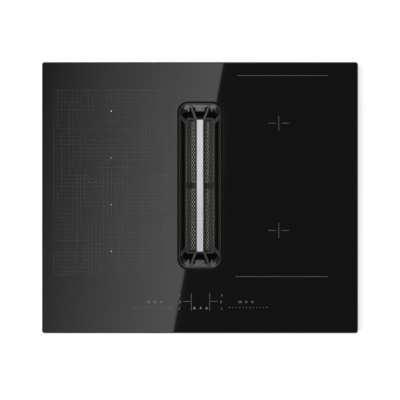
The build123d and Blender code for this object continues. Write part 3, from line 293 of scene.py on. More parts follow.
coil_copper = finish(
    "coil_copper", strands(),
    {"Dark": (0.42, 0.12, 0.045), "Light": (0.8, 0.36, 0.17), "Twist": 350.0,
     "Smooth": 0.25, "Rough": 0.45},
    bump=0.1, metallic=1.0, Coat_Weight=0.5,
)


def squared_point(half_x, half_y, corner_r, share):
    """A point on a rounded rectangle, that share of a turn round it by angle."""
    angle = 2 * math.pi * share
    flat_x = half_x - corner_r
    flat_y = half_y - corner_r
    lean = Vector((math.cos(angle), math.sin(angle)))
    square = max(abs(lean.x) / half_x, abs(lean.y) / half_y)
    out = lean / square
    over = Vector((max(abs(out.x) - flat_x, 0), max(abs(out.y) - flat_y, 0)))
    if over.x and over.y:
        over = over.normalized() * corner_r
        out = Vector((math.copysign(flat_x + over.x, out.x), math.copysign(flat_y + over.y, out.y)))
    return out


def take(piece, body, finish_of_piece, slot, *nodes):
    """Puts a piece on its body, with its finish, and hides the CAD nodes that it stands for. The slot is
    not used.
    """
    bpy.context.scene.collection.objects.link(piece)
    piece.data.materials.append(finish_of_piece)
    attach(piece, body)
    if nodes:
        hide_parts(*nodes)


def wound_wire(name, points, wire_r):
    """A round wire along a line of points, given in millimetres."""
    curve = bpy.data.curves.new(name, "CURVE")
    curve.dimensions = "3D"
    curve.bevel_depth = wire_r * MM
    curve.bevel_resolution = 2
    curve.use_fill_caps = True
    line = curve.splines.new("POLY")
    line.points.add(len(points) - 1)
    for spot, point in zip(line.points, points):
        spot.co = (*(Vector(point) * MM), 1)
    return bpy.data.objects.new(name, curve)


for winding, shape in WINDINGS.items():
    low, high = (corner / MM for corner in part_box(winding))
    middle = (low + high) / 2
    half = (high - low) / 2
    eye = SQUARED_EYE if shape == "squared" else (ROUND_EYE_R,) * 3
    rim = (half.x, half.y, SQUARED_CORNER_R if shape == "squared" else half.x)
    turns = int((half.x - eye[0] - WIRE_R) / (2 * WIRE_R + TURN_GAP))
    spiral = []
    for step in range(turns * STEPS_PER_TURN + 1):
        grown = step / (turns * STEPS_PER_TURN)
        wide, deep, corner_r = (
            inner + WIRE_R + (outer - inner - 2 * WIRE_R) * grown for inner, outer in zip(eye, rim)
        )
        spot = squared_point(wide, deep, min(corner_r, deep - CORNER_SLACK), step / STEPS_PER_TURN)
        spiral.append((middle.x + spot.x, middle.y + spot.y, middle.z))
    wire = wound_wire(winding + "_wire", spiral, WIRE_R)
    take(wire, "housing", coil_copper, "coil_copper", winding)

former_plastic = mottled(
    "former_plastic", (0.42, 0.4, 0.35), (0.55, 0.53, 0.47),
    patches=40.0, grain=1500.0, smooth=0.45, rough=0.6, bump=0.02,
)
ferrite = mottled(
    "ferrite", (0.02, 0.02, 0.022), (0.05, 0.05, 0.052),
    patches=200.0, grain=2500.0, smooth=0.5, rough=0.75, bump=0.05,
)
mica = mottled(
    "mica", (0.35, 0.3, 0.22), (0.62, 0.57, 0.46),
    patches=130.0, grain=1800.0, smooth=0.25, rough=0.5, bump=0.03, Coat_Weight=0.25,
)
sensor_plastic = mottled(
    "sensor_plastic", (0.55, 0.53, 0.5), (0.7, 0.68, 0.64),
    patches=90.0, grain=2000.0, smooth=0.4, rough=0.55, bump=0.01,
)
wear(former_plastic, *(name.replace("winding", "former") for name in WINDINGS))
wear(ferrite, "ferrite_bars")
wear(mica, "mica_sheets")
wear(sensor_plastic, "coil_sensors")

# ---- Cooling fans, touch control and mains terminal -------------------------------------------
# Glass-filled black mouldings: fan housings and rotors, the carrier of the touch board, and the
# terminal box with its lid. The sensor springs are wound from round wire and press on the glass.

SPRING_WIRE_R = 0.35
SPRING_TURNS = 6
STEPS_PER_COIL = 16
KEY_SPRING_R = 3.4
KEY_SPRING_XS = (-118.0, -86.0, -60.0, -11.0, 2.0, 13.0, 62.0, 90.0, 118.0)

black_moulding = mottled(
    "black_moulding", (0.012, 0.012, 0.013), (0.022, 0.022, 0.024),
    patches=30.0, grain=1600.0, smooth=0.38, rough=0.55, bump=0.03,
)
wear(
    black_moulding, "fan_housing_left", "fan_housing_right", "fan_rotor_left", "fan_rotor_right",
    "touch_carrier", "display_modules", "terminal_box", "terminal_lid", "inlet_ring",
    "flap_left", "flap_right",
)
spring_steel = drawn(
    "spring_steel", (0.5, 0.5, 0.52), (0.72, 0.72, 0.74),
    streaks=1500.0, smooth=0.2, rough=0.35, bump=0.005,
)
spring_low, spring_high = (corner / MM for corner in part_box("key_springs"))
spring_y = (spring_low.y + spring_high.y) / 2
for number, spring_x in enumerate(KEY_SPRING_XS):
    helix = []
    for step in range(SPRING_TURNS * STEPS_PER_COIL + 1):
        angle = 2 * math.pi * step / STEPS_PER_COIL
        rise = step / (SPRING_TURNS * STEPS_PER_COIL)
        helix.append((
            spring_x + KEY_SPRING_R * math.cos(angle),
            spring_y + KEY_SPRING_R * math.sin(angle),
            spring_low.z + SPRING_WIRE_R + (spring_high.z - spring_low.z - 2 * SPRING_WIRE_R) * rise,
        ))
    spring = wound_wire(f"key_spring_{number + 1}", helix, SPRING_WIRE_R)
    stands_for = ("key_springs",) if number == 0 else ()
    take(spring, "housing", spring_steel, "spring_steel", *stands_for)

terminal_plastic = mottled(
    "terminal_plastic", (0.5, 0.49, 0.46), (0.62, 0.61, 0.58),
    patches=60.0, grain=1800.0, smooth=0.4, rough=0.55, bump=0.02,
)
wear(terminal_plastic, "terminal_block")

# ---- Inlet well ------------------------------------------------------------------------------
# One moulding in black plastic with a deep matt texture, its colour darkened further as painted shade
# for the deep gaps round the filter: collar, ledge, throat, filter shelf and bars for the drip tray.
# Its flange seals against the underside of the glass, and its lower end plugs into the plenum.

# Black plastic, darkened further as painted shade in the gaps round the filter.
shaded_well_moulding = mottled(
    "shaded_well_moulding", (0.0016, 0.0016, 0.0016), (0.003, 0.003, 0.003),
    patches=30.0, grain=1400.0, smooth=0.75, rough=0.9, bump=0.04, Specular_IOR_Level=0.15,
)
wear(shaded_well_moulding, "inlet_well")

# ---- Plenum, scroll and fan ------------------------------------------------------------------
# Grey polypropylene mouldings with a fine spark-eroded texture, screwed together through ears.
# The fan wheel runs in the scroll on the cup of an external-rotor motor.

grey_moulding = mottled(
    "grey_moulding", (0.1, 0.102, 0.105), (0.135, 0.137, 0.14),
    patches=18.0, grain=1400.0, smooth=0.42, rough=0.6, bump=0.05,
)
wear(grey_moulding, "plenum_box", "scroll_shell", "scroll_lid", "flap_frame", "outlet_duct")
wheel_plastic = mottled(
    "wheel_plastic", (0.045, 0.046, 0.048), (0.065, 0.066, 0.068),
    patches=25.0, grain=1500.0, smooth=0.4, rough=0.55, bump=0.03,
)
wear(wheel_plastic, "impeller")
motor_iron = mottled(
    "motor_iron", (0.16, 0.15, 0.14), (0.3, 0.29, 0.27),
    patches=120.0, grain=2200.0, smooth=0.35, rough=0.55, bump=0.04, metallic=1.0,
)
wear(motor_iron, "motor_stator")
bearing_steel = drawn(
    "bearing_steel", (0.5, 0.5, 0.5), (0.68, 0.68, 0.68),
    streaks=1200.0, smooth=0.18, rough=0.3, bump=0.004,
)
wear(bearing_steel, "motor_bearings", "motor_shaft")
wear(zinc_sheet, "motor_base", "motor_rotor")

# ---- Screws ----------------------------------------------------------------------------------
# Pan-head tapping screws in zinc-plated steel with a cross recess and a rolled thread. Four hold
# the brackets to the chassis, and five draw the scroll up to its lid.

SCREW_R = 2.0
SCREW_HEAD_R = 4.0
SCREW_HEAD_T = 1.5
SCREW_HEAD_DOME = 0.55
SCREW_TIP_R = 0.2
SCREW_TIP_L = 1.0
SCREW_SIDES = 24
THREAD_PITCH = 1.4
THREAD_DEPTH = 0.35
RECESS_R = 2.1
RECESS_W = 0.9
RECESS_DEPTH = 0.9
RECESS_TAPER = 0.6
RECESS_CORNER = 0.7
RECESS_LAND = 0.5


def loft(mesh, rings, joined=False):
    """Skins closed rings of points one after the other, and caps the ends or joins them."""
    rows = [[mesh.verts.new(point) for point in ring] for ring in rings]
    pairs = list(zip(rows, rows[1:]))
    if joined:
        pairs.append((rows[-1], rows[0]))
    for lower, upper in pairs:
        for i, corner in enumerate(lower):
            j = (i + 1) % len(lower)
            mesh.faces.new((corner, lower[j], upper[j], upper[i]))
    if not joined:
        mesh.faces.new(reversed(rows[0]))
        mesh.faces.new(rows[-1])
    return rows


def as_object(name, mesh):
    """An object made of a finished mesh."""
    data = bpy.data.meshes.new(name)
    mesh.to_mesh(data)
    mesh.free()
    return bpy.data.objects.new(name, data)


def cast(name, mesh, crease=35.0):
    """Turns a mesh in millimetres into an object, smooth but for the edges past the crease angle."""
    bmesh.ops.scale(mesh, vec=(MM,) * 3, verts=mesh.verts)
    bmesh.ops.recalc_face_normals(mesh, faces=mesh.faces)
    for face in mesh.faces:
        face.smooth = True
    for edge in mesh.edges:
        edge.smooth = edge.calc_face_angle(0.0) < math.radians(crease)
    return as_object(name, mesh)


def screw_rings(shank_l):
    """Rings of a screw along +Z: the tip at 0, the thread, and the head above the shank."""
    core_r = SCREW_R - THREAD_DEPTH
    stations = [(SCREW_TIP_R, 0.0), (core_r, SCREW_TIP_L)]
    z = SCREW_TIP_L
    while z + THREAD_PITCH < shank_l:
        for radius, share in ((core_r, 0.35), (SCREW_R, 0.65), (core_r, 0.95)):
            stations.append((radius, z + share * THREAD_PITCH))
        z += THREAD_PITCH
    stations.append((core_r, shank_l))
    for share in (0.0, 0.45, 0.75, 0.95):
        edge = SCREW_HEAD_R * math.sqrt(1 - (SCREW_HEAD_DOME * share) ** 2)
        stations.append((edge, shank_l + SCREW_HEAD_T * share))
    stations.append((RECESS_R + RECESS_LAND, shank_l + SCREW_HEAD_T))
    angles = [2 * math.pi * i / SCREW_SIDES for i in range(SCREW_SIDES)]
    return [
        [Vector((radius * math.cos(a), radius * math.sin(a), z)) for a in angles]
        for radius, z in stations
    ]


def cross_ring(z, shrink):
    """The outline of a cross recess, with as many points as a ring of the screw has."""
    points = []
    for i in range(SCREW_SIDES):
        angle = 2 * math.pi * i / SCREW_SIDES
        off_arm = abs(math.sin((angle + math.pi / 4) % (math.pi / 2) - math.pi / 4))
        side = RECESS_W / 2 / off_arm if off_arm > RECESS_W / 2 / RECESS_R else RECESS_R
        reach = min(RECESS_R, max(side, RECESS_W * RECESS_CORNER))
        points.append(Vector((reach * shrink * math.cos(angle), reach * shrink * math.sin(angle), z)))
    return points


def screw(name, foot, towards, shank_l, nodes):
    """A screw whose tip is at foot and whose head points that way."""
    mesh = bmesh.new()
    rings = screw_rings(shank_l)
    top = shank_l + SCREW_HEAD_T
    rings += [cross_ring(top, 1.0), cross_ring(top - RECESS_DEPTH, RECESS_TAPER)]
    loft(mesh, rings)
    turn = Vector((0, 0, 1)).rotation_difference(Vector(towards)).to_matrix().to_4x4()
    bmesh.ops.transform(mesh, matrix=Matrix.Translation(foot) @ turn, verts=mesh.verts)
    take(cast(name, mesh), "housing", bearing_steel, "bearing_steel", *nodes)


def solids_of(name):
    """The boxes, in millimetres, of the separate solids that a CAD node holds."""
    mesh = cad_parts[name].data
    owner = list(range(len(mesh.vertices)))

    def root(index):
        while owner[index] != index:
            owner[index] = owner[owner[index]]
            index = owner[index]
        return index

    spots = {}
    for vertex in mesh.vertices:
        spot = tuple(round(value / MM, 3) for value in vertex.co)
        owner[vertex.index] = spots.setdefault(spot, vertex.index)
    for face in mesh.polygons:
        first, *others = (root(corner) for corner in face.vertices)
        for other in others:
            owner[root(other)] = root(first)
    found = {}
    for vertex in mesh.vertices:
        found.setdefault(root(vertex.index), []).append(vertex.co / MM)
    boxes = []
    for points in found.values():
        low = Vector(map(min, *points))
        high = Vector(map(max, *points))
        boxes.append((low, high))
    return sorted(boxes, key=lambda ends: tuple(ends[0]))


for number, (low, high) in enumerate(solids_of("scroll_screws")):
    tip = Vector(((low.x + high.x) / 2, (low.y + high.y) / 2, high.z))
    nodes = ("scroll_screws",) if number == 0 else ()
    screw(f"scroll_screw_{number + 1}", tip, (0, 0, -1), high.z - low.z - SCREW_HEAD_T, nodes)
for number, (low, high) in enumerate(solids_of("bracket_screws")):
    side = 1 if low.x > 0 else -1
    tip_x = low.x if side > 0 else high.x
    tip = Vector((tip_x, (low.y + high.y) / 2, (low.z + high.z) / 2))
    nodes = ("bracket_screws",) if number == 0 else ()
    screw(f"bracket_screw_{number + 1}", tip, (side, 0, 0), high.x - low.x - SCREW_HEAD_T, nodes)

# ---- Cable gland -----------------------------------------------------------------------------
# Moulded in grey nylon. A hexagon nut sits on the wall of the terminal box, and a domed cap with
# grip ribs closes the sealing insert round the bore.

GLAND_RIBS = 24
GLAND_RIB_H = 0.45
GLAND_BORE_R = 6.0
GLAND_CAP_R = 8.0
GLAND_NECK_L = 6.0
NUT_T = 4.0
NUT_CHAMFER = 0.6
CAP_GAP = 0.3
CAP_ROUND = ((0.0, 1.5), (0.7, 0.4))
BORE_CHAMFER = 0.5


def gland_ring(radius, along, ribs=0.0, sides=0):
    """A ring of the gland about its axis: round, ribbed or with flats."""
    points = []
    count = GLAND_RIBS * 4
    for i in range(count):
        angle = 2 * math.pi * i / count
        reach = radius
        if ribs:
            reach += ribs * math.cos(GLAND_RIBS * angle)
        if sides:
            half = math.pi / sides
            reach = radius * math.cos(half) / math.cos((angle % (2 * half)) - half)
        points.append(Vector((reach * math.cos(angle), along, reach * math.sin(angle))))
    return points


gland_low, gland_high = (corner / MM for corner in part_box("cable_gland"))
gland_axis = Vector(((gland_low.x + gland_high.x) / 2, 0, (gland_low.z + gland_high.z) / 2))
nut_r = (gland_high.x - gland_low.x) / 2
nut_y = gland_low.y + GLAND_NECK_L
cap_y = nut_y + NUT_T
mesh = bmesh.new()
loft(mesh, [
    gland_ring(GLAND_BORE_R, gland_low.y),
    gland_ring(GLAND_CAP_R, gland_low.y),
    gland_ring(GLAND_CAP_R, nut_y),
    gland_ring(nut_r - NUT_CHAMFER, nut_y, sides=6),
    gland_ring(nut_r, nut_y + NUT_CHAMFER, sides=6),
    gland_ring(nut_r, cap_y - NUT_CHAMFER, sides=6),
    gland_ring(nut_r - NUT_CHAMFER, cap_y, sides=6),
    gland_ring(GLAND_CAP_R, cap_y),
    gland_ring(GLAND_CAP_R, cap_y + CAP_GAP, ribs=GLAND_RIB_H),
    gland_ring(GLAND_CAP_R - CAP_ROUND[0][0], gland_high.y - CAP_ROUND[0][1], ribs=GLAND_RIB_H),
    gland_ring(GLAND_CAP_R - CAP_ROUND[1][0], gland_high.y - CAP_ROUND[1][1]),
    gland_ring(GLAND_BORE_R + BORE_CHAMFER, gland_high.y),
    gland_ring(GLAND_BORE_R, gland_high.y - BORE_CHAMFER),
], joined=True)
bmesh.ops.translate(mesh, vec=gland_axis, verts=mesh.verts)
take(cast("gland_body", mesh), "housing", grey_moulding, "grey_moulding", "cable_gland")

# ---- Fixing brackets -------------------------------------------------------------------------
# Four slotted angles pressed from zinc-coated steel. Each slides up under the worktop on its own
# screw and clamps the hob to the edge of the cut-out.

wear(zinc_sheet, *(f"bracket_{side}_{end}" for side in ("left", "right") for end in ("front", "rear")))

# ---- Seals -----------------------------------------------------------------------------------
# Closed-cell foam tape under the rim of the glass, a rubber gasket on the flange of the inlet
# well, and soft silicone pads that stop the grille from ringing on its ledge.

foam_tape = mottled(
    "foam_tape", (0.015, 0.015, 0.016), (0.04, 0.04, 0.042),
    patches=300.0, grain=2600.0, smooth=0.85, rough=0.98, bump=0.2,
)
seal_rubber = mottled(
    "seal_rubber", (0.01, 0.01, 0.01), (0.02, 0.02, 0.02),
    patches=60.0, grain=1800.0, smooth=0.6, rough=0.75, bump=0.03,
)
wear(foam_tape, "glass_seal")
wear(seal_rubber, "inlet_seal", "grille_pads")

# ---- Drip tray -------------------------------------------------------------------------------
# Pressed from steel sheet with the streaks of rolling, and coloured near black as painted shade so
# that the holes of the filter read dark. It lies on the bars of the inlet well, below the filter, and
# lifts out.

# Near-black metal: painted shade seen through the filter's holes.
tray_steel = drawn(
    "tray_steel", (0.02, 0.02, 0.019), (0.035, 0.035, 0.033),
    streaks=800.0, smooth=0.4, rough=0.55, bump=0.01,
)
wear(tray_steel, "drip_tray")

# ---- Grease filter ---------------------------------------------------------------------------
# Steel sheet pierced with oval holes and bent into a basket, with a dark olive oxide finish. The
# knots between the holes stand proud and carry a painted highlight, with a fainter painted sheen on
# the walls. A plain band runs across it.

INLET_Y = 23.0
HOLE_PITCH_X = 4.09
HOLE_PITCH_Y = 7.87
HOLE_POINT = 0.74
HOLE_SIDE = 0.84
# How much fainter the painted highlight is between knot and hole.
KNOT_HIGHLIGHT_FADE = 0.6
KNOT_RISE = 0.35
KNOT_SLOPE = 0.8
HOLE_RISE = 0.1
SHEET_T = 0.9
MOUTH = (25.7, 127.2)
MOUTH_R = 4.0
FLOOR = (17.0, 123.0)
RIM = (29.3, 130.5, 6.0)
RIM_T = 1.2
RIM_SOFT = 0.3
RIM_LAP = 0.8
FOLD = ((0.0, 0.0, 0.5), (-0.6, -0.4, 2.0), (0.4, 0.6, 2.0), (1.0, 1.0, RIM_T))
# Strength of the painted highlight on the rim's fold, in the middle and at the ends.
FOLD_HIGHLIGHT = (0.1, 0.45)
BAND = (-4.8, 4.6)
BEND_R = 1.6
SLOPE_STEP = 0.1
# Strength of the painted highlight on the knots of floor and walls, and of the painted sheen on the walls.
FLOOR_HIGHLIGHT = 1.0
WALL_HIGHLIGHT = 0.22
WALL_PAINTED_SHEEN = 0.04
END_TUCK = 0.5
END_TOP = 1.0
END_LAP = 0.4


def rounded_ring(half_x, half_y, corner_r, z, steps=8):
    """Points round a rounded rectangle about the inlet, in millimetres."""
    points = []
    for turn, (sx, sy) in enumerate(((1, 1), (-1, 1), (-1, -1), (1, -1))):
        for step in range(steps + 1):
            angle = math.pi / 2 * (turn + step / steps)
            points.append(Vector((
                sx * (half_x - corner_r) + corner_r * math.cos(angle),
                INLET_Y + sy * (half_y - corner_r) + corner_r * math.sin(angle),
                z,
            )))
    return points


def inset_ring(size, inset, z):
    """The ring with that half width, half length and corner, set in by so much all round."""
    return rounded_ring(*(value - inset for value in size), z)


filter_low, filter_high = (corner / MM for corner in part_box("filter_basket"))
FILTER_Z = filter_high.z
FLOOR_Z = filter_low.z + SHEET_T
WALL_L = math.hypot(MOUTH[0] - FLOOR[0], FILTER_Z - FLOOR_Z)
HALF_SHEET = FLOOR[0] + WALL_L


def sheet_place(along):
    """Where the sheet lies in cross-section, that far from its middle: across, and up."""
    side = math.copysign(1, along)
    far = abs(along)
    if far <= FLOOR[0]:
        return along, FLOOR_Z
    share = (far - FLOOR[0]) / WALL_L
    return side * (FLOOR[0] + (MOUTH[0] - FLOOR[0]) * share), FLOOR_Z + (FILTER_Z - FLOOR_Z) * share


def bent(along):
    """The same place on the sheet, eased over the bends."""
    near = [sheet_place(along + BEND_R * shift) for shift in (-1, -0.5, 0, 0.5, 1)]
    return sum(x for x, _ in near) / len(near), sum(z for _, z in near) / len(near)


def sheet_point(along, y, rise=0.0):
    """A point on the bent sheet, raised off its face."""
    across, up = bent(along)
    near_across, near_up = bent(along + SLOPE_STEP)
    normal = Vector((up - near_up, 0, near_across - across)).normalized()
    end = MOUTH[1] - (MOUTH[1] - FLOOR[1]) * (FILTER_Z - up) / (FILTER_Z - FLOOR_Z)
    y = max(-end, min(end, y))
    return Vector((across, INLET_Y + y, up)) + normal * rise


def highlit_coat():
    """A mottled finish, blended towards a painted highlight colour as far as a vertex attribute of the
    piece says.
    """
    tree, given, place, out = effect(
        "highlit_coat", ("Dark", "Light", "Highlight"), ("Patches", "Grain", "Smooth", "Rough")
    )
    patches = cloudy(tree, place, given["Patches"], 5.0)
    grain = cloudy(tree, place, given["Grain"], 3.0)
    # The attribute holds how strong the painted highlight is at each vertex.
    painted_highlight = node(tree, "ShaderNodeAttribute", attribute_name="painted_highlight")
    whole = blend_colours(tree, patches, given["Dark"], given["Light"])
    give_out(
        tree, out,
        colour=blend_colours(tree, painted_highlight.outputs["Fac"], whole, given["Highlight"]),
        roughness=between(tree, grain, given["Smooth"], given["Rough"]),
        height=grain,
    )
    return tree


HIGHLIT_COAT = highlit_coat()


def pierced_sheet(mesh):
    """Diamond tiles of sheet, each round an oval hole, and plain tiles in the band."""
    painted_highlight = mesh.verts.layers.float.new("painted_highlight")
    half_x = HOLE_PITCH_X / 2
    half_y = HOLE_PITCH_Y / 2
    columns = int(HALF_SHEET / half_x)
    rows = int(FLOOR[1] / half_y)
    shared = {}

    def in_band(j):
        return BAND[0] <= j * half_y <= BAND[1]

    def highlight_at(i, j, is_knot):
        """How strong the painted highlight is at a place counted in half pitches: on the knots, and fainter
        on the walls as a painted sheen.
        """
        on_wall = abs(i * half_x) > FLOOR[0] + BEND_R
        if not is_knot or in_band(j):
            return WALL_PAINTED_SHEEN if on_wall else 0.0
        return WALL_HIGHLIGHT if on_wall else FLOOR_HIGHLIGHT

    def spot(i, j, rise, is_knot):
        vertex = mesh.verts.new(sheet_point(i * half_x, j * half_y, rise))
        vertex[painted_highlight] = highlight_at(i, j, is_knot)
        return vertex

    def edge_spot(i, j, is_knot):
        """A place on the rim of a tile, which the next tile shares."""
        if (i, j) not in shared:
            rise = KNOT_RISE if is_knot else KNOT_RISE / 3
            shared[i, j] = spot(i, j, 0.0 if in_band(j) else rise, is_knot)
        return shared[i, j]

    steps = ((1, 0), (0.5, 0.5), (0, 1), (-0.5, 0.5), (-1, 0), (-0.5, -0.5), (0, -1), (0.5, -0.5))
    for i in range(-columns, columns + 1):
        for j in range(-rows, rows + 1):
            if (i + j) % 2:
                continue
            outer = []
            middle = []
            hole = []
            for dx, dy in steps:
                is_knot = dx == 0 or dy == 0
                reach = HOLE_POINT if is_knot else HOLE_SIDE
                inner = (1 + reach) / 2
                outer.append(edge_spot(i + dx, j + dy, is_knot))
                middle.append((i + inner * dx, j + inner * dy, is_knot))
                hole.append((i + reach * dx, j + reach * dy))
            if in_band(j):
                mesh.faces.new(outer)
                continue
            middle = [
                spot(x, y, KNOT_RISE * KNOT_SLOPE if is_knot else HOLE_RISE, is_knot)
                for x, y, is_knot in middle
            ]
            # The painted highlight fades from the knots towards the holes.
            for vertex in middle:
                vertex[painted_highlight] *= KNOT_HIGHLIGHT_FADE
            hole = [spot(x, y, 0.0, False) for x, y in hole]
            for a in range(len(steps)):
                b = (a + 1) % len(steps)
                mesh.faces.new((outer[a], outer[b], middle[b], middle[a]))
                mesh.faces.new((middle[a], middle[b], hole[b], hole[a]))


# The third colour is that of the painted highlight on the knots and of the painted sheen on the walls.
filter_steel = finish(
    "filter_steel", HIGHLIT_COAT,
    {"Dark": (0.011, 0.0115, 0.0075), "Light": (0.019, 0.02, 0.014), "Highlight": (0.72, 0.72, 0.65),
     "Patches": 60.0, "Grain": 1500.0, "Smooth": 0.4, "Rough": 0.55},
    bump=0.02,
)
# A darker copy of the filter finish for the rim: painted shade, with a painted highlight on its fold.
shaded_rim_steel = finish(
    "shaded_rim_steel", HIGHLIT_COAT,
    {"Dark": (0.005, 0.005, 0.004), "Light": (0.01, 0.01, 0.008), "Highlight": (0.3, 0.3, 0.27),
     "Patches": 60.0, "Grain": 1500.0, "Smooth": 0.45, "Rough": 0.6},
    bump=0.02,
)
mesh = bmesh.new()
pierced_sheet(mesh)
basket = cast("filter_mesh", mesh, crease=80.0)
take(basket, "grease_filter", filter_steel, "filter_steel", "filter_basket")
thick = basket.modifiers.new("sheet", "SOLIDIFY")
thick.thickness = SHEET_T * MM
thick.offset = -1.0

mesh = bmesh.new()
painted_highlight = mesh.verts.layers.float.new("painted_highlight")
rim_rows = loft(mesh, [
    rounded_ring(*RIM, FILTER_Z - RIM_T),
    rounded_ring(*RIM, FILTER_Z - RIM_SOFT),
    inset_ring(RIM, RIM_SOFT, FILTER_Z),
    inset_ring((*MOUTH, MOUTH_R), -RIM_LAP, FILTER_Z),
    *(rounded_ring(MOUTH[0] + x, MOUTH[1] + y, MOUTH_R, FILTER_Z - down) for x, y, down in FOLD),
], joined=True)
# A painted highlight along the fold of the rim, stronger towards its ends.
for fold in rim_rows[4:6]:
    for vertex in fold:
        if abs(vertex.co.x) > FLOOR[0]:
            towards_end = ((vertex.co.y - INLET_Y) / MOUTH[1]) ** 2
            vertex[painted_highlight] = FOLD_HIGHLIGHT[0] + (FOLD_HIGHLIGHT[1] - FOLD_HIGHLIGHT[0]) * towards_end
take(cast("filter_rim", mesh), "grease_filter", shaded_rim_steel, "filter_steel")

for end_name, end in (("front", -1), ("rear", 1)):
    corners = (
        (END_TUCK - MOUTH[0], FILTER_Z - END_TOP, MOUTH[1]),
        (MOUTH[0] - END_TUCK, FILTER_Z - END_TOP, MOUTH[1]),
        (FLOOR[0], FLOOR_Z - END_LAP, FLOOR[1]),
        (-FLOOR[0], FLOOR_Z - END_LAP, FLOOR[1]),
    )
    mesh = bmesh.new()
    loft(mesh, [
        [Vector((x, INLET_Y + end * (y + y_out), z)) for x, z, y in corners]
        for y_out in (0.0, SHEET_T)
    ])
    take(cast(f"filter_end_{end_name}", mesh), "grease_filter", filter_steel, "filter_steel")

# ---- Grille ----------------------------------------------------------------------------------
# Die-cast aluminium in satin anthracite enamel: a flat land, ends scooped and cut back beside the
# four ribs, hollowed corners, and a spine. Four legs hold the filter down. A V-groove runs along
# each, and their edges carry a painted highlight.

LAND = (40.25, 157.0, 18.0)
LAND_Z = 210.8
LAND_EDGE = ((0.0, 0.8), (0.25, 0.25), (0.8, 0.0))
LAND_INNER = ((0.6, 0.0), (0.1, 0.25))
RIM_Z = 203.4
RIM_CHAMFER = 0.4
LIP_Z = 196.2
LIP_SOFT = 0.5
SIDE_LAND = 2.1
END_LAND = 4.2
LIP_IN = (5.8, 16.0)
LIP_R = 12.0
FUNNEL_STEPS = 12
DISH_SHARE = 0.48
DISH_CURVE = 1.1
DISH_EDGE = ((20.5, 0.0), (18.5, 0.9), (15.0, 1.0), (11.5, 0.9), (9.0, 0.0))
DISH_CUT = 8.0
DISH_CUT_FROM = 0.4
HOLLOW = 11.5
HOLLOW_X = (23.0, 8.0)
CORNER_STEPS = 10
WALL_T = 1.4
RIM_WALL_T = 1.8
ROOF_T = 2.2
SPINE = (9.3, 127.5, 2.0)
SPINE_Z = 202.8
SPINE_FOOT = (0.6, 1.0)
SPINE_EDGE = ((0.0, 0.6), (0.2, 0.2), (0.6, 0.0))
STRIP = (6.0, 125.0, 1.0)
STRIP_GAP = 0.1
STRIP_SOFT = 0.35
STRIP_SEAT_Z = 209.4
STRIP_TOP_Z = 211.4
BAR_SOFT = 0.5

# The third colour is that of the painted highlight on the edges of the legs.
anthracite = finish(
    "cast_grille", HIGHLIT_COAT,
    {"Dark": (0.011, 0.011, 0.0115), "Light": (0.018, 0.018, 0.0185), "Highlight": (0.09, 0.09, 0.09),
     "Patches": 25.0, "Grain": 1300.0, "Smooth": 0.28, "Rough": 0.38},
    bump=0.015, Coat_Weight=0.5, Coat_Roughness=0.2,
)


def casting_ring(side_in, end_in, corner_r, z, cut=0.0, hollow=0.0):
    """A ring of the casting. Its ends are cut back beside the ribs, and its corners hollowed."""
    half_y = LAND[1] - end_in
    end_starts = (CORNER_STEPS, 3 * CORNER_STEPS + 2)
    ring = []
    for i, point in enumerate(rounded_ring(LAND[0] - side_in, half_y, corner_r, z, CORNER_STEPS)):
        sx = math.copysign(1, point.x)
        sy = math.copysign(1, point.y - INLET_Y)
        point.y += sy * hollow * min(max((abs(point.x) - HOLLOW_X[0]) / HOLLOW_X[1], 0.0), 1.0)
        ring.append(point)
        if i in end_starts:
            there = [(sx * across, share) for across, share in DISH_EDGE]
            back = [(-across, share) for across, share in reversed(there)]
            ring += [Vector((x, INLET_Y + sy * (half_y + cut * share), z)) for x, share in there + back]
    return ring


def funnel_rings(extra):
    """Rings of the funnel from the land to the lip, moved out by extra for its hidden face."""
    rings = []
    for step in range(1, FUNNEL_STEPS + 1):
        share = step / FUNNEL_STEPS
        dished = min(share / DISH_SHARE, 1.0) ** DISH_CURVE
        side = SIDE_LAND + (LIP_IN[0] - SIDE_LAND) * share - extra
        end = END_LAND + (LIP_IN[1] - END_LAND) * dished - extra
        corner_r = LAND[2] - END_LAND + (LIP_R - LAND[2] + END_LAND) * share + extra
        cut = DISH_CUT * max(dished - DISH_CUT_FROM, 0.0) / (1 - DISH_CUT_FROM)
        hollow = HOLLOW * (dished - share)
        rings.append(casting_ring(side, end, corner_r, LAND_Z + (LIP_Z - LAND_Z) * share, cut, hollow))
    return rings


def even_ring(inset, z):
    """A ring of the casting, set in from its outside by as much all round."""
    return casting_ring(inset, inset, LAND[2] - inset, z)


mesh = bmesh.new()
painted_highlight = mesh.verts.layers.float.new("painted_highlight")
loft(mesh, [
    even_ring(RIM_CHAMFER, RIM_Z),
    even_ring(0.0, RIM_Z + RIM_CHAMFER),
    *(even_ring(inset, LAND_Z - down) for inset, down in LAND_EDGE),
    *(
        casting_ring(SIDE_LAND - out, END_LAND - out, LAND[2] - END_LAND + out, LAND_Z - down)
        for out, down in LAND_INNER
    ),
    *funnel_rings(0.0),
    casting_ring(*(inset - LIP_SOFT for inset in LIP_IN), LIP_R + LIP_SOFT, LIP_Z - LIP_SOFT, DISH_CUT),
    *reversed(funnel_rings(WALL_T)[1:]),
    even_ring(RIM_WALL_T, LAND_Z - ROOF_T),
    even_ring(RIM_WALL_T, RIM_Z),
], joined=True)


